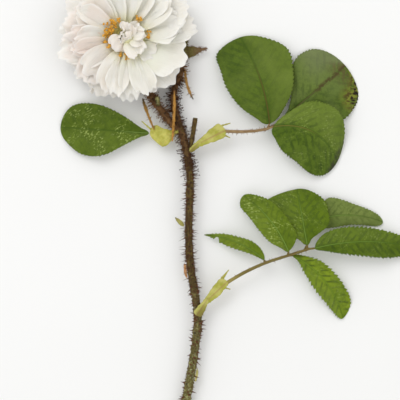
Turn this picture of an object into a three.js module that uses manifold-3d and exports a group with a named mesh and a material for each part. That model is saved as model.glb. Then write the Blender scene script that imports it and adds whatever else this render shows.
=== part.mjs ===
// A cut rose lying on a table: an open double bloom on its calyx, a bristly cane with a
// side stalk and its bud, two compound leaves, a single leaf, and dry bracts and scales.
// Millimetres. +Z is up from the table at z = 0, +Y runs from the cut end to the bloom,
// and the origin is below the middle of the whole rose.
import * as THREE from "three";
import { mergeVertices } from "three/addons/utils/BufferGeometryUtils.js";
import Module from "manifold-3d";

const wasm = await Module();
wasm.setup();

// Driving dimensions
const seatGap = 0.3; // clear space where two pieces meet
const bladeThickness = 0.7;
const narrowest = 0.3; // a blade's half-width at its very ends
const petalThickness = 0.6;
const bloomCentre = { x: -58.9, y: 96.5 };
const petalRootHeight = 14;
const lowerCanePrickles = 44;
const upperCanePrickles = 96;
const caneSeed = 7;

const vec = (x, y, z) => new THREE.Vector3(x, y, z);
const radians = THREE.MathUtils.degToRad;
const lerp = THREE.MathUtils.lerp;

// A repeatable run of random numbers from 0 to 1.
function seededRandom(seed) {
  let state = seed;
  return () => {
    state = (state * 1664525 + 1013904223) % 4294967296;
    return state / 4294967296;
  };
}

// Solids and meshes

function solidFrom(geometry) {
  const shape = geometry.clone();
  shape.deleteAttribute("normal");
  shape.deleteAttribute("uv");
  const merged = mergeVertices(shape, 1e-4);
  return new wasm.Manifold(
    new wasm.Mesh({
      numProp: 3,
      vertProperties: new Float32Array(merged.attributes.position.array),
      triVerts: new Uint32Array(merged.index.array),
    }),
  );
}

// Moves a solid's points onto a fine grid, so that no slivers of faces are left on it.
function settled(solid, step = 0.01) {
  const { numProp, numVert, vertProperties, triVerts } = solid.getMesh();
  const found = new Map();
  const positions = [];
  const moved = [];
  for (let i = 0; i < numVert; i++) {
    const start = i * numProp;
    const point = [...vertProperties.subarray(start, start + 3)].map((x) => Math.round(x / step));
    const key = point.join();
    if (!found.has(key)) {
      found.set(key, found.size);
      positions.push(...point.map((x) => x * step));
    }
    moved.push(found.get(key));
  }
  const faces = [];
  for (let i = 0; i < triVerts.length; i += 3) {
    const face = [...triVerts.subarray(i, i + 3)].map((k) => moved[k]);
    if (new Set(face).size === 3) faces.push(...face);
  }
  return new wasm.Manifold(
    new wasm.Mesh({
      numProp: 3,
      vertProperties: new Float32Array(positions),
      triVerts: new Uint32Array(faces),
    }),
  );
}

// Joins solids into one body, and drops points that don't change its form.
function join(solids) {
  return settled(wasm.Manifold.union(solids).asOriginal().simplify(0.015));
}

// The same body with the small pockets inside it filled.
function withoutPockets(solid) {
  const shells = solid.decompose().filter((shell) => shell.volume() > 0);
  return shells.sort((a, b) => b.volume() - a.volume())[0];
}

function meshOf(name, solid, material) {
  const { numProp, numVert, vertProperties, triVerts } = solid.getMesh();
  const positions = new Float32Array(numVert * 3);
  for (let i = 0; i < numVert; i++)
    positions.set(vertProperties.subarray(i * numProp, i * numProp + 3), i * 3);
  const geometry = new THREE.BufferGeometry()
    .setAttribute("position", new THREE.BufferAttribute(positions, 3))
    .setIndex(new THREE.BufferAttribute(triVerts, 1));
  geometry.computeVertexNormals();
  const mesh = new THREE.Mesh(geometry, material);
  mesh.name = name;
  return mesh;
}

// Joins rings of points into one closed skin. A ring lists its upper points from left to
// right and then its lower points from right to left, seen along the way the rings run.
function loft(rings) {
  const count = rings[0].length;
  const half = count / 2;
  const positions = rings.flat().flatMap((point) => point.toArray());
  const index = [];
  for (let i = 0; i + 1 < rings.length; i++)
    for (let j = 0; j < count; j++) {
      const a = i * count + j;
      const b = i * count + ((j + 1) % count);
      if (j < half) index.push(a, b, b + count, a, b + count, a + count);
      else index.push(a, b, a + count, b, b + count, a + count);
    }
  const last = (rings.length - 1) * count;
  for (let j = 0; j + 1 < half; j++) {
    const cap = [j, j + 1, count - 2 - j, j, count - 2 - j, count - 1 - j];
    index.push(...cap.toReversed());
    index.push(...cap.map((k) => last + k));
  }
  return solidFrom(
    new THREE.BufferGeometry()
      .setAttribute("position", new THREE.Float32BufferAttribute(positions, 3))
      .setIndex(index),
  );
}

// A round tapered stem along a smooth route. radiusAt runs from 0 at its start to 1.
function stem({ route, radiusAt, sides = 8, steps = 20 }) {
  const curve = new THREE.CatmullRomCurve3(route.map((p) => vec(...p)));
  const { normals, binormals } = curve.computeFrenetFrames(steps);
  const rings = [];
  for (let i = 0; i <= steps; i++) {
    const centre = curve.getPointAt(i / steps);
    const radius = radiusAt(i / steps);
    rings.push(
      Array.from({ length: sides }, (_, k) => {
        const turn = (2 * Math.PI * k) / sides;
        return centre
          .clone()
          .addScaledVector(normals[i], radius * Math.cos(turn))
          .addScaledVector(binormals[i], radius * Math.sin(turn));
      }),
    );
  }
  return loft(rings);
}

// A thin blade with a flat-sided edge, from a surface that gives its middle. Its edge runs
// out to a tooth at every other row, and in again between them.
function blade({ surface, rows, columns, thickness, upright = false, toothAt = () => 0 }) {
  const nudge = 1e-3;
  const rings = rows.map((u, i) => {
    const top = [];
    const bottom = [];
    for (const v of columns) {
      const inOrOut = i % 2 === 1 ? 1 : -1;
      const point = surface(u, v, Math.abs(v) === 1 ? inOrOut * toothAt(u) : 0);
      const along = surface(u + nudge, v).sub(surface(u - nudge, v));
      const across = surface(u, v + nudge).sub(surface(u, v - nudge));
      const normal = upright ? vec(0, 0, 1) : across.cross(along).normalize();
      top.push(point.clone().addScaledVector(normal, thickness / 2));
      bottom.unshift(point.clone().addScaledVector(normal, -thickness / 2));
    }
    return [...top, ...bottom];
  });
  return loft(rings);
}

// A three-sided prickle whose root is sunk into what it grows from.
function prickle(root, direction, length, radius) {
  const sunk = Math.min(radius, 0.5);
  const cone = new THREE.ConeGeometry(radius, length + sunk, 3);
  cone.translate(0, (length + sunk) / 2 - sunk, 0);
  const turn = new THREE.Quaternion().setFromUnitVectors(vec(0, 1, 0), direction);
  cone.applyQuaternion(turn);
  cone.translate(...root);
  return solidFrom(cone);
}

// Prickles along a stem's route, each a golden angle on from the last. Those that would
// come near a neighbouring piece, or go under the table, are left out.
function pricklesAlong({ route, radiusAt, count, from, to, sizeAt, random, keepClear }) {
  const curve = new THREE.CatmullRomCurve3(route.map((p) => vec(...p)));
  const steps = 200;
  const { normals, binormals, tangents } = curve.computeFrenetFrames(steps);
  const goldenAngle = Math.PI * (3 - Math.sqrt(5));
  const made = [];
  for (let k = 0; k < count; k++) {
    const along = lerp(from, to, (k + 0.6 * random()) / count);
    const frame = Math.round(along * steps);
    const turn = k * goldenAngle + 0.7 * random();
    const outward = normals[frame]
      .clone()
      .multiplyScalar(Math.cos(turn))
      .addScaledVector(binormals[frame], Math.sin(turn));
    const root = curve.getPointAt(along).addScaledVector(outward, 0.94 * radiusAt(along));
    const lean = outward.clone().addScaledVector(tangents[frame], 0.3 * random() - 0.25);
    const { length, radius } = sizeAt(along, random);
    if (root.z + lean.z * length < 0.3) continue;
    const solid = prickle(root, lean.normalize(), length, radius);
    if (keepClear.some((other) => solid.minGap(other, 1) < seatGap)) continue;
    made.push(solid);
  }
  return made;
}

// Leaves

// Half-widths of a blade are given at these shares of its length.
const stations = [0.08, 0.25, 0.5, 0.75, 0.92];

// A smooth curve through the points (xs, ys), held level beyond its ends.
function smoothThrough(xs, ys, x) {
  const last = xs.length - 1;
  const held = Math.min(Math.max(x, xs[0]), xs[last]);
  const i = Math.max(xs.findIndex((station) => held <= station), 1);
  const slope = (k) => {
    const before = Math.max(k - 1, 0);
    const after = Math.min(k + 1, last);
    return (ys[after] - ys[before]) / (xs[after] - xs[before]);
  };
  const span = xs[i] - xs[i - 1];
  const s = (held - xs[i - 1]) / span;
  const fromStart = (1 + 2 * s) * ys[i - 1] + s * span * slope(i - 1);
  const fromEnd = (3 - 2 * s) * ys[i] + (s - 1) * span * slope(i);
  return (1 - s) ** 2 * fromStart + s * s * fromEnd;
}

// The outline runs like an ellipse whose width changes along it, so both ends are round.
function halfWidthAt(u, halfWidths) {
  const ellipse = (t) => 2 * Math.sqrt(t * (1 - t));
  const ratios = halfWidths.map((half, i) => half / ellipse(stations[i]));
  return ellipse(u) * smoothThrough(stations, ratios, u);
}

// Rows stand closer together towards the two ends of a blade.
const rowPlace = (share) => lerp(share, (1 - Math.cos(Math.PI * share)) / 2, 0.55);

// A leaf's middle surface: u runs from base to tip, and v from its left edge to its right.
// It bows up to its middle height, folds along the midrib, and lies on the table at z = 0.
function leafSurface(leaf) {
  const { from, to, middle, sideBow = 0, left, right } = leaf;
  const { fold = 0.1, droop = 0.1, tilt = 0, wave = 0.4, waves = 3 } = leaf;
  const start = vec(...from);
  const end = vec(...to);
  const ahead = end.clone().sub(start).setZ(0).normalize();
  const rightward = vec(ahead.y, -ahead.x, 0);
  const control = start.clone().add(end).multiplyScalar(0.5);
  control.addScaledVector(rightward, 2 * sideBow);
  control.z = 2 * middle - (start.z + end.z) / 2;
  const midrib = new THREE.QuadraticBezierCurve3(start, control, end);
  return (u, v, tooth = 0) => {
    const reach = Math.min(Math.max(u, 0), 1);
    const half = Math.max(halfWidthAt(reach, v < 0 ? left : right) + tooth, narrowest);
    const point = midrib.getPoint(reach).addScaledVector(rightward, v * half);
    const size = Math.abs(v);
    point.z += half * (fold * size - droop * v * v + tilt * v);
    point.z += wave * size * Math.sin(2 * Math.PI * waves * reach + 2 * v);
    point.z = Math.max(point.z, bladeThickness / 2);
    return point;
  };
}

// Teeth lean towards the tip and fade out near the base.
function toothedLeaf(leaf) {
  const { teethPerSide = 12, toothDepth = 0.9 } = leaf;
  const count = 2 * teethPerSide;
  const rows = Array.from({ length: count + 1 }, (_, i) => {
    const forward = i % 2 === 1 ? 0.5 / count : 0;
    return rowPlace(i / count + forward);
  });
  return blade({
    surface: leafSurface(leaf),
    rows,
    columns: [-1, 0, 1],
    thickness: bladeThickness,
    upright: true,
    toothAt: (u) => 0.5 * toothDepth * Math.min(1, 5 * u),
  });
}

// A thin plain blade, such as a stipule, scale or bract.
function plainBlade(leaf, rowCount = 6) {
  return blade({
    surface: leafSurface({ wave: 0, ...leaf }),
    rows: Array.from({ length: rowCount + 1 }, (_, i) => rowPlace(i / rowCount)),
    columns: [-1, 0, 1],
    thickness: bladeThickness,
    upright: true,
  });
}

const awnWidths = [0.5, 0.45, 0.35, 0.2, 0.1];

const upperLeaflets = {
  upper_leaflet_left: {
    from: [19.6, 49.2, 9.4], to: [3.5, 97.2, 1.4], middle: 10.2, sideBow: 2.9,
    left: [6.0, 13.8, 19.0, 18.4, 15.4], right: [7.5, 14.8, 19.2, 19.6, 11.2],
    fold: 0.06, droop: 0.16, tilt: -0.05,
  },
  upper_leaflet_end: {
    from: [28.2, 53.4, 6.2], to: [61.7, 81.4, 0.35], middle: 4.4,
    left: [1.8, 7.5, 19.2, 20.2, 13.8], right: [8.0, 16.5, 21.8, 20.6, 14.8],
    fold: 0.05, droop: 0.12, teethPerSide: 11,
  },
  upper_leaflet_right: {
    from: [21.4, 47.6, 11.0], to: [57.3, 28.9, 1.2], middle: 12.0, sideBow: -7.6,
    left: [7.6, 14.8, 17.2, 17.5, 12.1], right: [7.0, 14.9, 18.8, 18.9, 12.7],
    fold: 0.06, droop: 0.14, tilt: -0.06,
  },
};

const lowerLeaflets = {
  lower_leaflet_small: {
    from: [16.7, -25.6, 10.0], to: [-16.3, -11.8, 2.0], middle: 8.5, sideBow: 3.1,
    left: [1.0, 2.3, 3.8, 2.9, 0.8], right: [3.2, 4.4, 3.2, 2.1, 0.8],
    fold: -0.5, droop: 0, tilt: 0.1, teethPerSide: 10,
  },
  lower_leaflet_left: {
    from: [29.9, -20.9, 11.4], to: [5.3, 10.0, 5.0], middle: 14.0, sideBow: 2.8,
    left: [2.6, 6.8, 8.2, 7.3, 5.9], right: [7.6, 8.4, 8.1, 6.9, 3.8],
    fold: -0.1, droop: 0.1,
  },
  lower_leaflet_right: {
    from: [32.0, -23.0, 8.2], to: [60.3, -57.9, 0.8], middle: 8.8, sideBow: -5,
    left: [2.9, 6.0, 7.0, 7.6, 6.8], right: [1.0, 4.5, 7.1, 5.9, 3.5],
    fold: -0.2, droop: 0.1,
  },
  lower_leaflet_upper: {
    from: [40.2, -17.3, 10.0], to: [34.7, 13.5, 2.4], middle: 9.2,
    left: [3.0, 8.0, 14.0, 17.2, 16.0], right: [2.6, 12.4, 14.8, 13.2, 7.4],
    fold: 0, droop: 0.1, tilt: 0.06, teethPerSide: 10,
  },
  lower_leaflet_side: {
    from: [44.4, -19.1, 10.4], to: [97.9, -18.4, 1.6], middle: 11.5, sideBow: -3.3,
    left: [6.2, 8.4, 8.0, 6.3, 4.4], right: [2.4, 5.5, 8.0, 8.4, 5.6],
    fold: -0.3, droop: 0, tilt: 0.1,
  },
  lower_leaflet_end: {
    from: [46.9, -3.2, 4.8], to: [82.3, -4.7, 0.5], middle: 4.0, sideBow: -3,
    left: [9.6, 9.8, 6.6, 4.5, 2.9], right: [5.4, 6.4, 5.4, 4.6, 3.3],
    fold: -0.1, droop: 0.1, teethPerSide: 9,
  },
};

const singleLeaf = {
  from: [-46.8, 44.2, 6.4], to: [-95.7, 47.6, 0.7], middle: 6.5,
  left: [2.2, 7.0, 13.9, 13.9, 8.0], right: [2.3, 7.3, 12.8, 14.1, 10.6],
  fold: 0.06, droop: 0.1,
};

// A leaf's stalk, the short stalks of its leaflets, and the stipule wings along its foot.
const upperStalk = {
  route: [
    [-21.0, 37.4, 8.2], [-19.0, 39.6, 8.6], [-13.8, 43.6, 9.0], [-7.6, 45.0, 9.2],
    [3.6, 45.0, 9.2], [12.0, 45.4, 9.2], [19.0, 46.6, 9.2],
  ],
  shortRoutes: [
    [[18.0, 46.3, 9.1]],
    [[18.0, 46.5, 8.8], [23.4, 49.4, 7.4]],
    [[17.6, 46.3, 9.4]],
  ],
  wings: [
    { from: [-24.4, 34.0, 10.4], to: [-18.2, 40.0, 9.5], middle: 10.4,
      left: [1.0, 1.4, 1.5, 1.3, 1.2], right: [1.1, 1.6, 1.9, 1.9, 1.7], fold: 0, droop: 0.3 },
    { from: [-19.6, 38.8, 9.0], to: [-4.6, 45.6, 9.7], middle: 9.6,
      left: [1.2, 2.2, 3.9, 5.0, 4.6], right: [1.7, 2.1, 2.7, 3.2, 2.6], fold: 0.1, droop: 0 },
    { from: [-7.0, 48.2, 9.6], to: [-2.0, 49.6, 10.0], middle: 9.8,
      left: awnWidths, right: awnWidths, fold: 0, droop: 0 },
    { from: [-6.4, 43.6, 9.4], to: [-2.2, 41.6, 9.4], middle: 9.5,
      left: awnWidths, right: awnWidths, fold: 0, droop: 0 },
  ],
};

const lowerStalk = {
  route: [
    [-16.4, -50.2, 6.6], [-14.6, -47.0, 7.0], [-10.6, -42.8, 7.4], [-3.5, -37.9, 8.2],
    [6.2, -32.2, 9.0], [16.7, -27.4, 9.6], [23.0, -25.2, 9.9], [29.4, -23.2, 10.0],
    [37.4, -20.7, 9.8], [41.6, -19.3, 9.6],
  ],
  shortRoutes: [
    [[16.7, -27.4, 9.6]],
    [[29.4, -23.2, 10.0]],
    [[29.0, -23.3, 9.8]],
    [[40.2, -19.7, 9.8]],
    [[41.0, -19.5, 9.7]],
    [[38.6, -20.2, 9.6], [41.2, -15.4, 6.9], [43.6, -8.6, 5.6]],
  ],
  wings: [
    { from: [-20.6, -56.2, 9.6], to: [-14.4, -46.8, 8.3], middle: 10.0,
      left: [2.3, 2.5, 2.0, 1.5, 1.4], right: [2.3, 2.6, 2.1, 1.6, 1.5], fold: 0, droop: 0.35 },
    { from: [-15.8, -48.8, 7.3], to: [-3.4, -37.5, 8.9], middle: 8.3,
      left: [1.4, 2.4, 3.3, 3.9, 3.6], right: [1.6, 2.2, 2.5, 1.8, 1.4], fold: 0.1, droop: 0 },
    { from: [-7.0, -36.4, 8.5], to: [-2.9, -31.0, 9.2], middle: 9.0,
      left: [0.9, 0.8, 0.6, 0.3, 0.1], right: [0.9, 0.8, 0.6, 0.3, 0.1], fold: 0, droop: 0 },
    { from: [-6.0, -40.6, 8.4], to: [-2.0, -41.7, 8.8], middle: 8.7,
      left: awnWidths, right: awnWidths, fold: 0, droop: 0 },
  ],
};

function leafStalk({ route, shortRoutes, wings }, leaflets) {
  const radiusAt = (t) => lerp(1.05, 0.75, t);
  const shortStalks = Object.keys(leaflets).map((name, i) => {
    const start = shortRoutes[i];
    const seat = vec(...leaflets[name].from);
    const back = vec(...start.at(-1)).sub(seat).normalize();
    let shortStalk;
    let short = 0; // how far the stalk stops before its leaflet's base
    do {
      short += 0.1;
      const end = seat.clone().addScaledVector(back, short).toArray();
      const steps = 2 * start.length;
      shortStalk = stem({ route: [...start, end], radiusAt: () => 0.6, sides: 6, steps });
    } while (shortStalk.minGap(leafSolids[name], 1) < seatGap && short < 2);
    return shortStalk;
  });
  return join([
    stem({ route, radiusAt, sides: 6, steps: 14 }),
    ...shortStalks,
    ...wings.map((wing) => plainBlade(wing)),
  ]);
}

const leafSolids = {};
for (const [name, leaf] of Object.entries({ ...upperLeaflets, ...lowerLeaflets }))
  leafSolids[name] = toothedLeaf(leaf);

// Bloom

// A petal as a bent fan: u runs from its claw to its rim and v from edge to edge. It leaves
// the receptacle at the angle rise and bends to the angle fall by its rim.
function petalSurface(petal) {
  const { turn, reach, width, rootRadius, rootHeight, rise, fall } = petal;
  const { cup = 0.1, roll = 0.2, ripple = 0.8, phase = 0, notch = 0, round = 0.26 } = petal;
  const start = radians(rise);
  const change = radians(fall) - start;
  const length = ((reach - rootRadius) * change) / (Math.sin(start + change) - Math.sin(start));
  const axisTurn = radians(turn);
  return (u, v) => {
    const dip = notch * Math.exp(-20 * v * v) * u * u * u;
    const share = u * (1 - round * v * v * u - dip);
    const slope = start + change * share;
    const out = (length / change) * (Math.sin(slope) - Math.sin(start));
    const up = (-length / change) * (Math.cos(slope) - Math.cos(start));
    const opened = Math.pow(Math.sin((Math.min(u / 0.78, 1) * Math.PI) / 2), 1.15);
    const closing = 1 - 2.4 * Math.max(u - 0.78, 0) ** 2;
    const half = 0.5 * width * (0.12 + 0.88 * opened) * closing;
    const wavy = ripple * u * u * Math.sin(2.6 * v + phase);
    const lift = half * (cup * v * v + roll * v) + wavy;
    const radial = rootRadius + out - lift * Math.sin(slope);
    const height = rootHeight + up + lift * Math.cos(slope);
    const across = v * half;
    return vec(
      bloomCentre.x + radial * Math.cos(axisTurn) + across * Math.sin(axisTurn),
      bloomCentre.y + radial * Math.sin(axisTurn) - across * Math.cos(axisTurn),
      height,
    );
  };
}

// The guard petals, by their direction in degrees and their reach, as in the bloom's outline.
const guardPetals = [
  { turn: -15, reach: 36.8, width: 31, rise: 12, fall: -10, low: false },
  { turn: -48, reach: 38, width: 31, rise: 8, fall: -12, low: true },
  { turn: -88, reach: 36.5, width: 22, rise: 12, fall: -16, low: false },
  { turn: -110, reach: 38, width: 25, rise: 6, fall: -24, low: true },
  { turn: -124, reach: 37.6, width: 9, rise: 4, fall: -20, low: true },
  { turn: -137, reach: 35, width: 25, rise: 12, fall: -14, low: false },
  { turn: -153, reach: 38.4, width: 20, rise: 6, fall: -22, low: true },
  { turn: -167, reach: 40, width: 18, rise: 14, fall: -14, low: false },
  { turn: 177, reach: 38.4, width: 18, rise: 8, fall: -20, low: true },
  { turn: 161, reach: 38.8, width: 19, rise: 14, fall: -14, low: false },
  { turn: 148, reach: 40, width: 24, rise: 6, fall: -22, low: true },
  { turn: 122, reach: 38, width: 27, rise: 13, fall: -14, low: false },
  { turn: 97, reach: 37, width: 26, rise: 6, fall: -24, low: true },
  { turn: 73, reach: 37.5, width: 26, rise: 13, fall: -14, low: false },
  { turn: 50, reach: 38.5, width: 25, rise: 6, fall: -22, low: true },
  { turn: 28, reach: 40.2, width: 19, rise: 13, fall: -13, low: false },
  { turn: 13, reach: 40.4, width: 20, rise: 8, fall: -12, low: true },
];

// The long petals that lie on the guard petals, and the shorter ones that stand over them.
// They leave the broad guard petals on the right in view.
const strapPetals = [
  { turn: 22, reach: 31, width: 16 },
  { turn: 47, reach: 33, width: 16 },
  { turn: 71, reach: 31, width: 15 },
  { turn: 94, reach: 33, width: 15 },
  { turn: 117, reach: 31, width: 15 },
  { turn: 139, reach: 33, width: 15 },
  { turn: 161, reach: 32, width: 16 },
  { turn: 184, reach: 33, width: 12 },
  { turn: 204, reach: 31, width: 13 },
  { turn: 227, reach: 30, width: 16 },
  { turn: 252, reach: 32, width: 14 },
  { turn: 275, reach: 35, width: 10 },
  { turn: 292, reach: 32, width: 10 },
];
const innerPetals = [
  { turn: 16, reach: 18, width: 13 },
  { turn: 58, reach: 23, width: 13 },
  { turn: 90, reach: 25, width: 12 },
  { turn: 124, reach: 26, width: 12 },
  { turn: 156, reach: 23, width: 13 },
  { turn: 192, reach: 25, width: 12 },
  { turn: 226, reach: 21, width: 12 },
  { turn: 262, reach: 24, width: 11 },
  { turn: 300, reach: 25, width: 12 },
  { turn: 338, reach: 18, width: 12 },
];

// Petals with small seeded differences in how each one bends.
function varied(petals, { rise, fall, rootRadius, rootHeight }, random) {
  return petals.map((petal) => ({
    rise: rise + 8 * (random() - 0.5),
    fall: fall + 10 * (random() - 0.5),
    cup: 0.2 + 0.2 * random(),
    roll: 0.1 + 0.2 * random(),
    ripple: 0.6 + 0.6 * random(),
    phase: 6 * random(),
    rootRadius,
    rootHeight,
    ...petal,
  }));
}

function bloomPetals() {
  const random = seededRandom(21);
  const guards = guardPetals.map((petal, i) => ({
    roll: 0.16,
    ripple: 0.9,
    phase: 1.7 * i,
    notch: i % 3 === 0 ? 0.05 : 0,
    rootRadius: 4,
    rootHeight: petalRootHeight + (petal.low ? -0.8 : 0.4),
    ...petal,
  }));
  const straps = varied(strapPetals, {
    rise: 26, fall: -11, rootRadius: 5, rootHeight: petalRootHeight - 0.2,
  }, random);
  const inner = varied(innerPetals, {
    rise: 46, fall: 2, rootRadius: 7.9, rootHeight: petalRootHeight + 0.6,
  }, random);
  return { guards, straps, inner };
}

// The crumpled petals that stand up through the ring of stamens. Most fold outwards over it,
// and two fold inwards over the middle.
const centrePetals = [
  { turn: -128, reach: 10.5, width: 13, rise: 84, fall: -12, phase: 0.4 },
  { turn: -62, reach: 12.0, width: 11, rise: 82, fall: -6, phase: 2.2 },
  { turn: -14, reach: 10.5, width: 11, rise: 82, fall: 10, phase: 4.1 },
  { turn: 40, reach: 10.5, width: 11, rise: 84, fall: 0, phase: 5.0 },
  { turn: 96, reach: 8.0, width: 10, rise: 86, fall: 10, phase: 1.2 },
  { turn: 172, reach: 9.0, width: 11, rise: 86, fall: 10, phase: 3.0 },
  { turn: 130, reach: -1, width: 9, rise: 92, fall: 150, phase: 0.5, rootRadius: 3.2 },
  { turn: -30, reach: -1, width: 9, rise: 94, fall: 150, phase: 2.5, rootRadius: 3.2 },
].map((petal) => ({
  rootRadius: 2.2, rootHeight: petalRootHeight + 3.1, cup: 0.35, roll: 0.15, ripple: 0.9, ...petal,
}));

const receptacle = { discRadius: 8.6, discTop: 15.7, discBottom: 12, bossRadius: 4.4, bossTop: 18 };

function petalSolid(petal, rows, columns) {
  return blade({ surface: petalSurface(petal), rows, columns, thickness: petalThickness });
}

function bloomSolid() {
  const { guards, straps, inner } = bloomPetals();
  const { discRadius, discTop, discBottom, bossRadius, bossTop } = receptacle;
  const profile = [
    [0, discBottom], [discRadius - 2, discBottom], [discRadius, discTop - 1.5], [discRadius - 0.6, discTop],
    [bossRadius, discTop], [bossRadius - 0.6, bossTop], [0, bossTop],
  ].map(([r, z]) => new THREE.Vector2(r, z));
  const core = new THREE.LatheGeometry(profile, 12);
  core.rotateX(Math.PI / 2);
  core.translate(bloomCentre.x, bloomCentre.y, 0);
  const wideRows = [0.03, 0.36, 0.68, 0.9, 1];
  const wideColumns = [-1, -0.5, 0, 0.5, 1];
  const slimRows = [0.03, 0.4, 0.78, 1];
  const slimColumns = [-1, -0.4, 0.4, 1];
  const foldedColumns = [-1, 0, 1];
  return withoutPockets(join([
    solidFrom(core),
    ...guards.map((petal) => petalSolid(petal, wideRows, petal.width > 22 ? wideColumns : slimColumns)),
    ...straps.map((petal) => petalSolid(petal, slimRows, slimColumns)),
    ...inner.map((petal) => petalSolid(petal, slimRows, foldedColumns)),
    ...centrePetals.map((petal) => petalSolid(petal, slimRows, slimColumns)),
  ]));
}

// A ring round the boss with its stamens. A stamen that would brush a petal is left out.
const stamenRing = { inner: 4.75, outer: 6.3, bottom: 16, top: 17 };

function stamens(petals) {
  const { inner, outer, bottom, top } = stamenRing;
  const profile = [[inner, bottom], [outer, bottom], [outer, top - 0.3], [inner, top], [inner, bottom]];
  const ring = new THREE.LatheGeometry(profile.map(([r, z]) => new THREE.Vector2(r, z)), 20);
  ring.rotateX(Math.PI / 2);
  ring.translate(bloomCentre.x, bloomCentre.y, 0);
  const random = seededRandom(5);
  const made = [solidFrom(ring)];
  const count = 32;
  const middle = (inner + outer) / 2;
  for (let k = 0; k < count; k++) {
    const turn = (2 * Math.PI * (k + 0.5 * random())) / count;
    const rise = radians(38 + 32 * random());
    const length = 5 + 4.5 * random();
    const outward = vec(Math.cos(turn), Math.sin(turn), 0);
    const direction = outward.clone().multiplyScalar(Math.cos(rise)).setZ(Math.sin(rise));
    const root = vec(bloomCentre.x, bloomCentre.y, top - 0.6).addScaledVector(outward, middle);
    const filament = new THREE.CylinderGeometry(0.3, 0.34, length, 3);
    filament.translate(0, length / 2, 0);
    const anther = new THREE.OctahedronGeometry(0.62);
    anther.scale(1, 1.5, 1);
    anther.translate(0, length, 0);
    const lean = new THREE.Quaternion().setFromUnitVectors(vec(0, 1, 0), direction);
    const parts = [filament, anther].map((part) => {
      part.applyQuaternion(lean);
      part.translate(...root);
      return solidFrom(part);
    });
    const stamen = join(parts);
    if (stamen.minGap(petals, 1) >= seatGap) made.push(stamen);
  }
  return join(made);
}

// Calyx

const calyx = {
  route: [
    [-57.35, 90.4, 4.5], [-58.2, 92.8, 5.1], [-58.8, 95.4, 8.4],
    [bloomCentre.x, bloomCentre.y, receptacle.discBottom + 1],
  ],
  sepalTurns: [-31, 41, 113, 185, 257], sepalLength: 23, sepalWidth: 7.4,
};

// Turns a shape that stands along +Y to stand from one point towards another.
function standBetween(geometry, from, to) {
  const direction = vec(...to).sub(vec(...from)).normalize();
  geometry.applyQuaternion(new THREE.Quaternion().setFromUnitVectors(vec(0, 1, 0), direction));
  geometry.translate(...from);
  return geometry;
}

// A sepal's narrow pointed blade from a root, along a turn in degrees, to where it lies down.
function sepal({ root, turn, length, width, drop }) {
  const heading = vec(Math.cos(radians(turn)), Math.sin(radians(turn)), 0);
  const tip = vec(...root).addScaledVector(heading, length);
  tip.z = Math.max(root[2] - drop, bladeThickness / 2);
  const side = [0.42, 0.5, 0.38, 0.18, 0.07].map((share) => share * width);
  const leaf = {
    from: root, to: tip.toArray(), middle: lerp(root[2], tip.z, 0.45), left: side, right: side,
    fold: 0.1, droop: 0.2, wave: 0, teethPerSide: 6, toothDepth: 0.8,
  };
  return toothedLeaf(leaf);
}

function calyxSolid() {
  const { route, sepalTurns, sepalLength, sepalWidth } = calyx;
  const radiusAt = (t) => 1.7 + 1.6 * Math.sin(Math.PI * Math.min(t * 1.1, 1)) + 2.7 * t ** 6;
  const urn = stem({ route, radiusAt, sides: 10, steps: 6 });
  const lid = new THREE.BoxGeometry(60, 60, 10);
  const lidHeight = receptacle.discBottom - seatGap + 5;
  lid.translate(bloomCentre.x, bloomCentre.y, lidHeight);
  const sepals = sepalTurns.map((turn) => {
    const root = vec(bloomCentre.x, bloomCentre.y, 10.4);
    root.x += 1.5 * Math.cos(radians(turn));
    root.y += 1.5 * Math.sin(radians(turn));
    return sepal({ root: root.toArray(), turn, length: sepalLength, width: sepalWidth, drop: 10.6 });
  });
  return join([wasm.Manifold.union([urn, ...sepals]).subtract(solidFrom(lid))]);
}

// The side stalk's closed bud with its spreading sepals.
const bud = { foot: [-28.6, 82.6, 4.6], tip: [-29.0, 95.0, 5.2], radius: 3.9 };

function budSolid() {
  const { foot, tip, radius } = bud;
  const height = vec(...foot).distanceTo(vec(...tip));
  const shape = [[0, 0], [0.42, 0], [0.8, 0.18], [1, 0.42], [0.8, 0.7], [0.35, 0.93], [0, 1]];
  const profile = shape.map(([r, y]) => new THREE.Vector2(r * radius, y * height));
  const body = standBetween(new THREE.LatheGeometry(profile, 10), foot, tip);
  const sepals = [
    { root: [-29.6, 88.0, 6.4], turn: 11, length: 15.4, width: 6.6, drop: 2.2 },
    { root: [-28.4, 88.4, 5.6], turn: 152, length: 14, width: 5.4, drop: 2.6 },
    { root: [-28.8, 89.6, 5.2], turn: 78, length: 14, width: 5.0, drop: 1.2 },
  ];
  return join([solidFrom(body), ...sepals.map(sepal)]);
}

// Cane

const caneRoute = [
  [-31.3, -133.0, 2.2], [-30.8, -130.1, 2.4], [-28.3, -115.0, 3.4], [-26.1, -101.8, 4.4],
  [-23.3, -85.8, 5.4], [-20.6, -67.4, 6.2], [-19.9, -56.0, 6.4], [-21.4, -44.8, 6.6],
  [-23.9, -28.9, 6.8], [-24.9, -10.7, 7.0], [-24.4, 7.4, 7.0], [-24.3, 22.0, 7.0],
  [-26.4, 35.5, 7.0], [-28.6, 43.6, 6.8], [-34.1, 49.2, 6.4], [-40.2, 56.9, 5.8],
  [-45.1, 64.0, 5.2], [-49.9, 72.0, 4.6], [-54.2, 81.5, 4.1], [-57.15, 89.8, 4.4],
];
const caneRadiusAt = (t) => {
  const belowFork = lerp(2.3, 1.95, THREE.MathUtils.smoothstep(t, 0.05, 0.3));
  return lerp(belowFork, 1.75, THREE.MathUtils.smoothstep(t, 0.7, 0.86));
};

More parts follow.
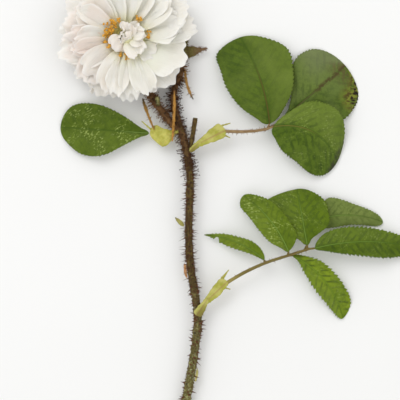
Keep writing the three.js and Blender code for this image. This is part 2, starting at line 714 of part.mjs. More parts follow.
const sideStalkRoute = [
  [-28.0, 42.0, 6.8], [-30.4, 50.0, 6.4], [-32.6, 57.0, 5.6], [-33.4, 64.0, 4.8],
  [-31.6, 72.0, 4.3], [-29.0, 78.0, 4.2], [-28.6, 82.1, 4.5],
];
const sideStalkRadiusAt = (t) => lerp(1.9, 1.3, t);

const stubRoute = [[-24.4, 34.5, 7.4], [-22.8, 42.6, 9.4], [-21.2, 52.4, 11.0]];
const budScarRoute = [[-41.6, 59.2, 6.0], [-42.0, 62.2, 8.0], [-42.2, 63.6, 9.4]];

function caneSolid(keepClear) {
  const random = seededRandom(caneSeed);
  const stubRadiusAt = () => 1.35;
  const nodeSwellings = [[-20.1, -52.0, 6.3, 2.4], [-25.2, 34.6, 7.0, 2.4], [-23.8, -88.0, 5.3, 2.4]];
  const swellings = nodeSwellings.map(([x, y, z, radius]) => {
    const lump = new THREE.SphereGeometry(radius, 8, 6);
    lump.translate(x, y, z);
    return solidFrom(lump);
  });
  const stems = [
    stem({ route: caneRoute, radiusAt: caneRadiusAt, steps: 44 }),
    stem({ route: sideStalkRoute, radiusAt: sideStalkRadiusAt, steps: 9 }),
    stem({ route: stubRoute, radiusAt: stubRadiusAt, sides: 6, steps: 3 }),
    stem({ route: budScarRoute, radiusAt: () => 1.3, sides: 6, steps: 2 }),
  ];
  // Most prickles are short, and one in five is a long straight one.
  const stoutSize = (along, draw) => {
    const isLong = draw() < 0.2;
    return isLong
      ? { length: 2.6 + 0.9 * draw(), radius: 0.6 }
      : { length: 1.0 + 1.0 * draw(), radius: 0.42 };
  };
  const bristleSize = (along, draw) => ({ length: 1.5 + 0.9 * draw(), radius: 0.38 });
  const shared = { random, keepClear };
  const prickles = [
    ...pricklesAlong({
      route: caneRoute, radiusAt: caneRadiusAt, count: lowerCanePrickles, from: 0.01, to: 0.4,
      sizeAt: stoutSize, ...shared,
    }),
    ...pricklesAlong({
      route: caneRoute, radiusAt: caneRadiusAt, count: upperCanePrickles, from: 0.4, to: 0.76,
      sizeAt: stoutSize, ...shared,
    }),
    ...pricklesAlong({
      route: caneRoute, radiusAt: caneRadiusAt, count: 54, from: 0.76, to: 0.95,
      sizeAt: bristleSize, ...shared,
    }),
    ...pricklesAlong({
      route: sideStalkRoute, radiusAt: sideStalkRadiusAt, count: 36, from: 0.12, to: 0.97,
      sizeAt: bristleSize, ...shared,
    }),
    ...pricklesAlong({
      route: stubRoute, radiusAt: stubRadiusAt, count: 8, from: 0.35, to: 0.97,
      sizeAt: bristleSize, ...shared,
    }),
  ];
  const table = new THREE.BoxGeometry(400, 400, 20);
  table.translate(0, 0, -10);
  const grown = wasm.Manifold.union([...stems, ...swellings, ...prickles]);
  return join([grown.subtract(solidFrom(table))]);
}

// Bracts, stipules and scales

const singleStipule = [
  { from: [-32.2, 44.0, 6.8], to: [-46.3, 44.2, 6.6], middle: 7.8,
    left: [2.2, 5.6, 7.3, 4.8, 2.6], right: [1.2, 2.0, 2.8, 4.4, 3.3], fold: 0.1, droop: 0.15 },
  { from: [-44.6, 45.2, 6.8], to: [-50.8, 50.8, 7.4], middle: 7.2,
    left: awnWidths, right: awnWidths, fold: 0, droop: 0 },
];

const slim = [0.5, 0.7, 0.75, 0.7, 0.4];
const dryBracts = {
  dry_bract_left: {
    from: [-43.8, 45.9, 8.4], to: [-50.3, 63.2, 9.6], middle: 8.8, sideBow: -0.3,
    left: [0.4, 0.6, 0.7, 0.9, 0.6], right: [0.4, 0.6, 0.7, 0.9, 0.6], fold: 0.2, droop: 0,
  },
  dry_bract_middle: {
    from: [-34.0, 39.6, 9.4], to: [-32.8, 67.6, 8.3], middle: 8.8, sideBow: 0.4,
    left: slim, right: slim, fold: 0.2, droop: 0,
  },
  dry_bract_right: {
    from: [-26.9, 79.6, 4.6], to: [-22.4, 62.8, 6.0], middle: 5.4, sideBow: 1.2,
    left: slim, right: slim, fold: 0.2, droop: 0,
  },
};

// Dry scales that stand on the cane where buds and leaves have been.
const caneScales = {
  cane_scale_upper: {
    from: [-27.5, -7.0, 6.9], to: [-32.4, -2.2, 6.6], middle: 6.9,
    left: [0.6, 1.1, 1.2, 0.8, 0.3], right: [0.6, 1.1, 1.2, 0.8, 0.3], fold: 0.1, droop: 0,
  },
  cane_scale_middle: {
    from: [-25.9, -35.4, 6.7], to: [-27.2, -27.6, 7.0], middle: 6.9,
    left: [0.6, 1.0, 1.1, 0.9, 0.6], right: [0.3, 0.4, 0.5, 0.7, 0.6], fold: 0.1, droop: 0,
  },
  cane_scale_lower: {
    from: [-21.3, -92.6, 5.3], to: [-20.2, -85.4, 5.6], middle: 5.5,
    left: [0.4, 0.5, 0.5, 0.4, 0.3], right: [0.5, 0.8, 0.9, 0.8, 0.4], fold: 0.1, droop: 0,
  },
};

// Colours

const paint = (color, roughness) => new THREE.MeshStandardMaterial({ color, roughness, metalness: 0 });
const finishes = {
  petal: paint(0xf1eee6, 0.6),
  stamen: paint(0xd9951f, 0.7),
  calyx: paint(0x6b6a35, 0.8),
  cane: paint(0x5a4a2c, 0.8),
  stalk: paint(0x8f8a3f, 0.7),
  leaf: paint(0x4f6f1f, 0.55),
  stipule: paint(0xb4b845, 0.65),
  dry: paint(0xa8772f, 0.85),
};

// The whole rose

const petals = bloomSolid();
const solids = {
  bloom_petals: [petals, finishes.petal],
  bloom_stamens: [stamens(petals), finishes.stamen],
  bloom_calyx: [calyxSolid(), finishes.calyx],
  side_bud: [budSolid(), finishes.calyx],
  upper_leaf_stalk: [leafStalk(upperStalk, upperLeaflets), finishes.stalk],
  lower_leaf_stalk: [leafStalk(lowerStalk, lowerLeaflets), finishes.stalk],
  single_leaf: [toothedLeaf(singleLeaf), finishes.leaf],
  single_leaf_stipule: [join(singleStipule.map((leaf) => plainBlade(leaf))), finishes.stipule],
};
for (const [name, solid] of Object.entries(leafSolids)) solids[name] = [solid, finishes.leaf];
for (const [name, leaf] of Object.entries({ ...dryBracts, ...caneScales }))
  solids[name] = [plainBlade(leaf), finishes.dry];
const neighbours = Object.values(solids).map(([solid]) => solid);
solids.cane = [caneSolid(neighbours), finishes.cane];

const rose = new THREE.Group();
for (const [name, [solid, material]] of Object.entries(solids))
  rose.add(meshOf(name, solid, material));

export default rose;
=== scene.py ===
import math

import bpy
import numpy as np
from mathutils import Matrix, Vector
from mathutils.bvhtree import BVHTree


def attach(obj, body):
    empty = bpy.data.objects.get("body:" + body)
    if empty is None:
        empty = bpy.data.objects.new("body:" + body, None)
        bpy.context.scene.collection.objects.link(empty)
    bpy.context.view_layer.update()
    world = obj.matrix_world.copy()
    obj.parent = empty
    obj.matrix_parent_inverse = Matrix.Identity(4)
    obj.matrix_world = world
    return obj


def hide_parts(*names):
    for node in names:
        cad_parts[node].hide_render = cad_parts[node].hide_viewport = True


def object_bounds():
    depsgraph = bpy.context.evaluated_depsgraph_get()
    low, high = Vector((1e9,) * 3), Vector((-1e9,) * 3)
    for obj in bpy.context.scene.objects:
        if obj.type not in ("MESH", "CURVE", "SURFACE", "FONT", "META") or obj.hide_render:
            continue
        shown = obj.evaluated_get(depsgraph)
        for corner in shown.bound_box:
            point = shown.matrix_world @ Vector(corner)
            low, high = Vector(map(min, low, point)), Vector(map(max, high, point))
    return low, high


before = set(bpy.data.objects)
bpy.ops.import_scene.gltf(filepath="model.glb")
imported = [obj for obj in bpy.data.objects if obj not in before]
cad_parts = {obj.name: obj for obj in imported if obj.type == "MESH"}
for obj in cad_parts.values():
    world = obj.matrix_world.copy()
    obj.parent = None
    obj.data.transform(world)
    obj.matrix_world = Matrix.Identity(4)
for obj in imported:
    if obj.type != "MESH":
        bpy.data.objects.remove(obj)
cadLow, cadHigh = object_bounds()
print("cut rose: frame loaded,", len(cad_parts), "nodes")

mm = 0.001  # lengths are given in millimetres
tableGap = 0.02  # undersides stay this far above the table


# Colours and shader maths

def paint(colour):  # "6b7a2a" as linear light, and a shade as it is
    if isinstance(colour, Shade):
        return colour
    parts = [int(colour[i:i + 2], 16) / 255 for i in (0, 2, 4)]
    return tuple(p / 12.92 if p < 0.04045 else ((p + 0.055) / 1.055) ** 2.4 for p in parts) + (1,)


class Shade:  # a shader socket that takes part in sums
    def __init__(self, tree, socket=None):
        self.tree = tree
        self.socket = socket

    def node(self, kind, settings=(), inputs=(), out=0):
        made = self.tree.nodes.new(kind)
        for name, value in dict(settings).items():
            setattr(made, name, value)
        for name, value in dict(inputs).items():
            if isinstance(value, Shade):
                self.tree.links.new(value.socket, made.inputs[name])
            else:
                made.inputs[name].default_value = value
        return Shade(self.tree, made.outputs[out])

    def maths(self, operation, *values):
        return self.node("ShaderNodeMath", {"operation": operation}, enumerate(values))

    def __add__(self, other):
        return self.maths("ADD", self, other)

    def __sub__(self, other):
        return self.maths("SUBTRACT", self, other)

    def __rsub__(self, other):
        return self.maths("SUBTRACT", other, self)

    def __mul__(self, other):
        return self.maths("MULTIPLY", self, other)

    def __abs__(self):
        return self.maths("ABSOLUTE", self)

    __radd__ = __add__
    __rmul__ = __mul__

    def clip(self):
        return self.maths("MINIMUM", self.maths("MAXIMUM", self, 0.0), 1.0)

    def rise(self, low, high):  # 0 at low, 1 at high, smooth between them and held beyond
        inputs = {"Value": self, "From Min": low, "From Max": high}
        return self.node("ShaderNodeMapRange", {"interpolation_type": "SMOOTHSTEP"}, inputs)

    def mix(self, first, second, mask):
        inputs = {0: mask, 6: paint(first), 7: paint(second)}
        return self.node("ShaderNodeMix", {"data_type": "RGBA"}, inputs, 2)

    def to(self, colour, mask):  # this colour where the mask is 0, the other where it is 1
        return self.mix(self, colour, mask)

    def field(self, name):  # a number kept on the points
        return self.node("ShaderNodeAttribute", {"attribute_name": name}, (), 2)

    def place(self, stretch=(1, 1, 1), turned=0.0):  # millimetres along and across a piece
        where = self.node("ShaderNodeAttribute", {"attribute_name": "flat"}, (), 1)
        if turned:
            where = self.node("ShaderNodeVectorRotate", {"rotation_type": "Z_AXIS"},
                              {"Vector": where, "Angle": turned})
        return self.node("ShaderNodeVectorMath", {"operation": "MULTIPLY"}, {0: where, 1: stretch})

    def cloud(self, where, scale, detail=3.0, rough=0.55):
        inputs = {"Vector": where, "Scale": scale, "Detail": detail, "Roughness": rough}
        return self.node("ShaderNodeTexNoise", {}, inputs)

    def cells(self, where, scale, feature="F1"):
        return self.node("ShaderNodeTexVoronoi", {"feature": feature}, {"Vector": where, "Scale": scale})

    def bump(self, height, distance, strength):  # distance in millimetres
        inputs = {"Height": height, "Distance": distance * mm, "Strength": strength}
        return self.node("ShaderNodeBump", {}, inputs)


class Finish(Shade):  # a new material, and its principled shader
    def __init__(self, name, **surface):
        self.material = bpy.data.materials.new(name)
        self.material.use_nodes = True
        super().__init__(self.material.node_tree)
        self.shader = self.tree.nodes["Principled BSDF"]
        for socket, value in surface.items():
            self.shader.inputs[socket.replace("_", " ")].default_value = value

    def done(self, **shades):
        for socket, shade in shades.items():
            self.tree.links.new(shade.socket, self.shader.inputs[socket.replace("_", " ")])
        return self.material


# Skins: the points, faces and point fields of one piece

def unit(vectors):
    lengths = np.linalg.norm(vectors, axis=-1, keepdims=True)
    return vectors / np.maximum(lengths, 1e-9)


class Skin:
    def __init__(self, *fields):
        self.points, self.faces, self.count = [], [], 0
        self.fields = {name: [] for name in fields}

    def add(self, points, faces, **values):
        points = np.asarray(points, float).reshape(-1, 3)
        for block in faces:
            self.faces += (np.asarray(block) + self.count).tolist()
        self.points.append(points)
        for name, kept in self.fields.items():
            size = 3 if name == "flat" else 1  # flat holds millimetres along and across
            value = np.asarray(values.get(name, 0.0), float)
            value = value.reshape(-1, size) if value.ndim else value
            kept.append(np.broadcast_to(value, (len(points), size)))
        self.count += len(points)

    def piece(self, name, finish, node):
        mesh = bpy.data.meshes.new(name)
        mesh.from_pydata((np.concatenate(self.points) * mm).tolist(), [], self.faces)
        for field, kept in self.fields.items():
            kind, key = ("FLOAT_VECTOR", "vector") if field == "flat" else ("FLOAT", "value")
            made = mesh.attributes.new(field, kind, "POINT")
            made.data.foreach_set(key, np.concatenate(kept).ravel())
        mesh.materials.append(finish)
        mesh.shade_smooth()
        obj = bpy.data.objects.new(name, mesh)
        bpy.context.scene.collection.objects.link(obj)
        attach(obj, "root")
        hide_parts(node)


def gridFaces(rows, columns, wrapped=False):
    index = np.arange(rows * columns).reshape(rows, columns)
    if wrapped:
        index = np.concatenate([index, index[:, :1]], axis=1)
    corners = [index[:-1, :-1], index[:-1, 1:], index[1:, 1:], index[1:, :-1]]
    return np.stack(corners, -1).reshape(-1, 4)


# A thin closed sheet from its upper and lower grids of points, which run rows by columns
def addSheet(skin, upper, lower, **values):
    rows, columns = upper.shape[:2]
    count = rows * columns
    index = np.arange(count).reshape(rows, columns)
    rim = np.concatenate([index[0, :-1], index[:-1, -1], index[-1, :0:-1], index[:0:-1, 0]])
    following = np.roll(rim, -1)
    walls = np.stack([rim, rim + count, following + count, following], -1)
    top = gridFaces(rows, columns)
    for name, value in values.items():
        value = np.asarray(value, float)
        if value.shape[:2] == (rows, columns):  # the same above and below
            value = np.tile(value.reshape(count, -1), (2, 1))
        values[name] = value
    skin.add([upper.reshape(-1, 3), lower.reshape(-1, 3)], [top, top[:, ::-1] + count, walls],
             under=np.repeat([0.0, 1.0], count), **values)


# A smooth curve through points, spaced by its length, as the part's stems are
class Route:
    def __init__(self, points):
        known = np.array(points, float)
        known = np.concatenate([[2 * known[0] - known[1]], known, [2 * known[-1] - known[-2]]])
        gaps = np.maximum(np.linalg.norm(np.diff(known, axis=0), axis=1) ** 0.5, 1e-4)
        fine = []
        t = np.linspace(0, 1, 40, endpoint=False)[:, None]
        for i in range(1, len(known) - 2):
            p0, p1, p2, p3 = known[i - 1:i + 3]
            d0, d1, d2 = gaps[i - 1:i + 2]
            leave = ((p1 - p0) / d0 - (p2 - p0) / (d0 + d1) + (p2 - p1) / d1) * d1
            reach = ((p2 - p1) / d1 - (p3 - p1) / (d1 + d2) + (p3 - p2) / d2) * d1
            fine.append(p1 + leave * t + (3 * (p2 - p1) - 2 * leave - reach) * t ** 2
                        + (2 * (p1 - p2) + leave + reach) * t ** 3)
        self.fine = np.concatenate(fine + [known[-2:-1]])
        run = np.concatenate([[0], np.cumsum(np.linalg.norm(np.diff(self.fine, axis=0), axis=1))])
        self.length = run[-1]
        self.shares = run / run[-1]

    def at(self, shares):
        return np.stack([np.interp(shares, self.shares, self.fine[:, k]) for k in range(3)], -1)

    def frames(self, steps):  # the directions along and round the curve at even steps
        shares = np.linspace(0, 1, steps + 1)
        nudge = 0.5 / steps
        ahead = unit(self.at(np.minimum(shares + nudge, 1)) - self.at(np.maximum(shares - nudge, 0)))
        axis = np.eye(3)[int(np.argmin(np.abs(ahead[0])))]
        side = np.cross(ahead[0], np.cross(ahead[0], axis))
        sides = []
        for direction in ahead:
            side = unit(side - direction * np.dot(side, direction))
            sides.append(side)
        return ahead, np.array(sides), np.cross(ahead, sides)

    def outwards(self, shares, turns, steps):  # the directions along the curve and away from it
        ahead, side, other = self.frames(steps)
        spot = np.rint(shares * steps).astype(int)
        return ahead[spot], side[spot] * np.cos(turns) + other[spot] * np.sin(turns)


# A stem's skin along a route, with closed ends. bumps adds to the radius, in millimetres.
def addStem(skin, route, radiusAt, sides=12, steps=40, bumps=None, start=0, end=1):
    shares = np.linspace(0, 1, steps + 1)
    _, side, other = route.frames(steps)
    turns = np.linspace(0, 2 * math.pi, sides, endpoint=False)
    radii = np.array([radiusAt(s) for s in shares])[:, None] * np.ones(sides)
    if bumps:
        radii = radii + bumps(shares[:, None], turns[None, :])
    out = side[:, None] * np.cos(turns)[:, None] + other[:, None] * np.sin(turns)[:, None]
    rings = route.at(shares)[:, None] + out * radii[..., None]
    rings[..., 2] = np.maximum(rings[..., 2], tableGap)
    ends = np.stack([rings[0].mean(0), rings[-1].mean(0)])
    count = rings.shape[0] * sides
    loop = np.arange(sides)
    following = np.roll(loop, -1)
    last = count - sides
    caps = np.concatenate([
        np.stack([following, loop, np.full(sides, count)], -1),
        np.stack([loop + last, following + last, np.full(sides, count + 1)], -1),
    ])
    along = np.concatenate([np.repeat(shares, sides), [0, 1]])
    around = np.concatenate([np.tile(turns, steps + 1), [0, 0]])
    flat = np.stack([along * route.length, 2.0 * np.cos(around), 2.0 * np.sin(around)], -1)
    flat[-2:, 1:] = 0
    skin.add(np.concatenate([rings.reshape(-1, 3), ends]), [gridFaces(steps + 1, sides, True), caps],
             share=start + along * (end - start), flat=flat, cut=np.concatenate([np.zeros(count), [1, 1]]))


# Thin cones that stand on a surface, each with its own length and radius. curl bends their tips.
def addSpikes(skin, roots, directions, lengths, radii, profile, sides=3, curl=0.0, **values):
    count = len(roots)
    directions = unit(directions)
    first = unit(np.cross(directions, np.where(np.abs(directions[:, 2:]) < 0.8, [[0, 0, 1]], [[1, 0, 0]])))
    second = np.cross(directions, first)
    layers, heights = [], []
    for share, width in profile:
        middle = roots + directions * (lengths * share)[:, None]
        middle = middle + curl * (lengths * max(share, 0) ** 2)[:, None]
        for turn in np.linspace(0, 2 * math.pi, sides, endpoint=False):
            spread = first * math.cos(turn) + second * math.sin(turn)
            layers.append(middle + spread * (radii * width)[:, None])
            heights.append(max(share, 0))
    layers.append(roots + directions * lengths[:, None] + curl * lengths[:, None])
    heights.append(1.0)
    points = np.stack(layers, 1)
    points[..., 2] = np.maximum(points[..., 2], tableGap)
    size = len(layers)
    start = (np.arange(count) * size)[:, None, None]
    loop = np.arange(sides)
    following = np.roll(loop, -1)
    quads = [np.stack([loop, following, following + sides, loop + sides], -1) + k * sides
             for k in range(len(profile) - 1)]
    top = (len(profile) - 1) * sides
    ends = np.stack([loop + top, following + top, np.full(sides, size - 1)], -1)
    blocks = [(np.concatenate(quads)[None] + start).reshape(-1, 4), (ends[None] + start).reshape(-1, 3)]
    values = {k: (np.repeat(v, size, axis=0) if np.ndim(v) else v) for k, v in values.items()}
    skin.add(points, blocks, spike=np.tile(heights, count), **values)


# Repeatable draws from 0 to 1, the same run as in the part's source
def seededDraws(seed):
    state = seed

    def draw():
        nonlocal state
        state = (state * 1664525 + 1013904223) % 4294967296
        return state / 4294967296
    return draw


# Leaves

leafStations = np.array([0.08, 0.25, 0.5, 0.75, 0.92])  # where along a blade its half widths are given
narrowest = 0.3
toothSteps = [(0, -0.5), (0.3, -0.12), (0.6, 0.24), (0.86, 0.5), (0.94, 0.05)]
bladeColumns = np.array([0.018, 0.04, 0.08, 0.14, 0.21, 0.29, 0.37, 0.45, 0.53, 0.61, 0.69, 0.77, 0.84,
                         0.9, 0.95, 1])
bladeDraws = seededDraws(33)  # for the teeth and fringes of all blades, in the order they are made


def smoothThrough(xs, ys, x):
    held = np.clip(x, xs[0], xs[-1])
    i = np.clip(np.searchsorted(xs, held), 1, len(xs) - 1)
    before = np.maximum(np.arange(len(xs)) - 1, 0)
    after = np.minimum(np.arange(len(xs)) + 1, len(xs) - 1)
    slope = (ys[after] - ys[before]) / (xs[after] - xs[before])
    span = xs[i] - xs[i - 1]
    s = (held - xs[i - 1]) / span
    fromStart = (1 + 2 * s) * ys[i - 1] + s * span * slope[i - 1]
    fromEnd = (3 - 2 * s) * ys[i] + (s - 1) * span * slope[i]
    return (1 - s) ** 2 * fromStart + s * s * fromEnd


def halfWidthAt(u, halfWidths):
    ratios = np.array(halfWidths) / (2 * np.sqrt(leafStations * (1 - leafStations)))
    return 2 * np.sqrt(np.maximum(u * (1 - u), 0)) * smoothThrough(leafStations, ratios, u)


def rowPlace(share):  # rows stand closer together at a blade's base and tip
    return share + 0.55 * ((1 - np.cos(math.pi * share)) / 2 - share)


def step(low, high, x):
    t = np.clip((x - low) / (high - low), 0, 1)
    return t * t * (3 - 2 * t)


# A blade's base, tip, height at its middle, and half widths on the left and the right. Both sides are
# alike where only one is given.
def blade(base, tip, middle, left, right=None, **more):
    return {"base": np.array(base, float), "tip": np.array(tip, float), "middle": middle,
            "left": left, "right": right or left, **more}


# A blade's middle surface for columns of u from base to tip and rows of v from side to side
def bladePoints(leaf, u, v, tooth=0.0, wave=0.0):
    start, end = leaf["base"], leaf["tip"]
    ahead = unit((end - start) * [1, 1, 0])
    rightward = np.array([ahead[1], -ahead[0], 0])
    control = (start + end) / 2 + rightward * 2 * leaf.get("sideBow", 0)
    control[2] = 2 * leaf["middle"] - (start[2] + end[2]) / 2
    half = np.where(v < 0, halfWidthAt(u, leaf["left"]), halfWidthAt(u, leaf["right"]))
    half = np.maximum(half + tooth, narrowest)
    t = u[..., None]
    points = (1 - t) ** 2 * start + 2 * t * (1 - t) * control + t * t * end
    points = points + rightward * (v * half)[..., None]
    size = np.abs(v)
    fold, droop, tilt = leaf.get("fold", 0), leaf.get("droop", 0), leaf.get("tilt", 0)
    points[..., 2] += half * (fold * size - droop * v * v + tilt * v)
    points[..., 2] += wave * size * np.sin(6 * math.pi * u + 2 * v)
    return points, half


# The upper and the lower side of a blade, from its middle surface. Neither goes into the table.
def bladeSides(points, above, below, least):
    upper, lower = points.copy(), points.copy()
    upper[..., 2] += above
    lower[..., 2] = np.maximum(lower[..., 2] + below, tableGap)
    upper[..., 2] = np.maximum(upper[..., 2], lower[..., 2] + least)
    return upper, lower


leafSheet = {  # in millimetres, the first one from the middle surface
    "half": 0.17, "thinnerRim": 0.07, "groove": 0.16, "rib": 0.4, "ribWidth": 0.55, "least": 0.2, "wave": 0.4,
}


# A toothed blade with a sunk midrib above, a raised one below, and swellings between its veins
def addLeaf(skin, leaf):
    teeth = leaf["teeth"]
    rows = [(k + place) / teeth for k in range(teeth) for place, _ in toothSteps] + [1.0]
    sizes = [0.35 + 1.3 * bladeDraws() for _ in range(teeth)]
    jags = [jag * size for size in sizes for _, jag in toothSteps] + [0.0]
    u = rowPlace(np.array(rows))[:, None]
    v = np.concatenate([-bladeColumns[::-1], [0], bladeColumns])[None, :]
    wide = np.abs(v)
    fade = np.minimum(1, 5 * u) * np.minimum(1, 12 * (1 - u) + 0.1)
    edge = np.clip((wide - 0.88) / 0.12, 0, 1)
    tooth = leaf["depth"] * np.array(jags)[:, None] * fade * edge
    points, half = bladePoints(leaf, u, v, tooth, leafSheet["wave"])
    along = u * np.linalg.norm(leaf["tip"] - leaf["base"]) + 0 * v
    across = v * half
    vein = (along - 0.78 * np.abs(across) - 0.006 * across ** 2) / leaf["spacing"] + np.where(v < 0, 0.5, 0)
    stray = 0.2 * np.sin(0.31 * along + 2.2 * v) + 0.12 * np.sin(0.77 * along - 3 * v)
    swell = (np.abs(np.sin(math.pi * (vein + stray))) - 0.45) * (0.75 + 0.35 * np.sin(1.3 * vein + 2 * v))
    inside = step(0, 0.2, wide) * (1 - step(0.8, 1, wide)) * step(0, 0.1, u) * (1 - step(0.9, 1, u))
    midrib = np.exp(-(across / leafSheet["ribWidth"]) ** 2) * (1 - u) ** 0.5
    relief = leaf.get("relief", 0.12) * swell * inside
    if "bite" in leaf:  # a piece that something has eaten from one edge
        place, width, deep, side = leaf["bite"]
        gone = deep * np.exp(-((u - place) / width) ** 4) * np.where(v * side > 0, 1, 0)
        middle = points[:, len(bladeColumns)][:, None]
        points = points - (points - middle) * (gone * np.ones_like(v))[..., None]
    thickness = leafSheet["half"] - leafSheet["thinnerRim"] * step(0.85, 1, wide)
    above = relief + thickness - leafSheet["groove"] * midrib
    below = relief - thickness - leafSheet["rib"] * midrib
    upper, lower = bladeSides(points, above, below, leafSheet["least"])
    flat = np.stack([along, across, 0 * along], -1)
    addSheet(skin, upper, lower, reach=u + 0 * v, side=v + 0 * u, vein=vein, flat=flat)


# The leaflets of the upper leaf, the lower leaf, and the single leaf. Teeth are counted on one side.
# tone is the green in shade and in light, and rib the midrib's colour, width and end.
leaves = {
    "upper_leaflet_left": blade(
        (19.6, 49.2, 9.4), (3.5, 97.2, 1.4), 10.2,
        [6.0, 13.8, 19.0, 18.4, 15.4], [7.5, 14.8, 19.2, 19.6, 11.2],
        sideBow=2.9, fold=0.06, droop=0.16, tilt=-0.05, teeth=30, depth=0.7, spacing=5.4,
        tone=("3d500c", "546a1a"), rib=("5a4c20", 0.4, 0.7), veins=0.6, mottle=0.5, veil=0.9, veilSide=1,
        flecks=0.08),
    "upper_leaflet_end": blade(
        (28.2, 53.4, 6.2), (61.7, 81.4, 0.35), 4.4,
        [1.8, 7.5, 19.2, 20.2, 13.8], [8.0, 16.5, 21.8, 20.6, 14.8],
        fold=0.05, droop=0.12, teeth=30, depth=0.7, spacing=5.2,
        tone=("4a5e18", "62762c"), rib=("5f5634", 0.35, 0.95), veins=0.6, mottle=0.45, veil=0.6,
        veilColour="7f8c52", flecks=0.05, blotch=True),
    "upper_leaflet_right": blade(
        (21.4, 47.6, 11.0), (57.3, 28.9, 1.2), 12.0,
        [7.6, 14.8, 17.2, 17.5, 12.1], [7.0, 14.9, 18.8, 18.9, 12.7],
        sideBow=-7.6, fold=0.06, droop=0.14, tilt=-0.06, teeth=30, depth=0.8, spacing=5.0, relief=0.14,
        tone=("435a0c", "5d7220"), rib=("6f6a2c", 0.35, 0.6), veins=0.85, mottle=0.6, veil=0.8, veilSide=-1,
        flecks=0.4, darkTip=True),
    "lower_leaflet_small": blade(
        (16.7, -25.6, 10.0), (-16.3, -11.8, 2.0), 8.5,
        [1.0, 2.3, 3.8, 2.9, 0.8], [3.2, 4.4, 3.2, 2.1, 0.8],
        sideBow=3.1, fold=-0.5, tilt=0.1, teeth=20, depth=0.6, spacing=3.2, bite=(0.8, 0.035, 0.85, -1),
        tone=("5a7010", "7c8e26"), rib=("66802c", 0.3, 1.0), veins=0.3, mottle=0.3, veil=0.3, flecks=0.5),
    "lower_leaflet_left": blade(
        (29.9, -20.9, 11.4), (5.3, 10.0, 5.0), 14.0,
        [2.6, 6.8, 8.2, 7.3, 5.9], [7.6, 8.4, 8.1, 6.9, 3.8],
        sideBow=2.8, fold=-0.1, droop=0.1, teeth=26, depth=0.6, spacing=4.0,
        tone=("52690e", "6e821e"), rib=("74903a", 0.3, 0.8), veins=0.35, mottle=0.3, veil=0.3, veilSide=-1,
        flecks=1.1),
    "lower_leaflet_right": blade(
        (32.0, -23.0, 8.2), (60.3, -57.9, 0.8), 8.8,
        [2.9, 6.0, 7.0, 7.6, 6.8], [1.0, 4.5, 7.1, 5.9, 3.5],
        sideBow=-5, fold=-0.2, droop=0.1, teeth=24, depth=0.9, spacing=4.2, relief=0.3,
        tone=("566f0c", "849820"), rib=("6f8a28", 0.25, 1.0), veins=0.7, mottle=0.4, veil=0.6, veilSide=1,
        flecks=0.3),
    "lower_leaflet_upper": blade(
        (40.2, -17.3, 10.0), (34.7, 13.5, 2.4), 9.2,
        [3.0, 8.0, 14.0, 17.2, 16.0], [2.6, 12.4, 14.8, 13.2, 7.4],
        droop=0.1, tilt=0.06, teeth=24, depth=0.7, spacing=4.6, relief=0.22,
        tone=("4a600a", "647a14"), rib=("6c8636", 0.3, 0.9), veins=0.5, mottle=0.4, veil=0.35, veilSide=-1,
        flecks=0.5),
    "lower_leaflet_side": blade(
        (44.4, -19.1, 10.4), (97.9, -18.4, 1.6), 11.5,
        [6.2, 8.4, 8.0, 6.3, 4.4], [2.4, 5.5, 8.0, 8.4, 5.6],
        sideBow=-3.3, fold=-0.3, tilt=0.1, teeth=30, depth=0.8, spacing=4.4, relief=0.3,
        tone=("42580a", "607618"), rib=("6a8632", 0.25, 0.9), veins=0.7, mottle=0.45, veil=0.35, veilSide=-1,
        flecks=0.3),
    "lower_leaflet_end": blade(
        (46.9, -3.2, 4.8), (82.3, -4.7, 0.5), 4.0,
        [9.6, 9.8, 6.6, 4.5, 2.9], [5.4, 6.4, 5.4, 4.6, 3.3],
        sideBow=-3, fold=-0.1, droop=0.1, teeth=24, depth=0.5, spacing=4.4, relief=0.2,
        tone=("5a6e24", "788644"), rib=("6f8a3a", 0.25, 0.7), veins=0.4, mottle=0.3, veil=0.45, veilSide=1,
        veilColour="8d9a5c", flecks=0.2),
    "single_leaf": blade(
        (-46.8, 44.2, 6.4), (-95.7, 47.6, 0.7), 6.5,
        [2.2, 7.0, 13.9, 13.9, 8.0], [2.3, 7.3, 12.8, 14.1, 10.6],
        fold=0.06, droop=0.1, teeth=30, depth=0.5, spacing=5.4, relief=0.06,
        tone=("435608", "5c701c"), rib=("6a8038", 0.3, 0.3), veins=0.25, mottle=0.45, veil=0.3, veilSide=-1,
        flecks=1.3),
}


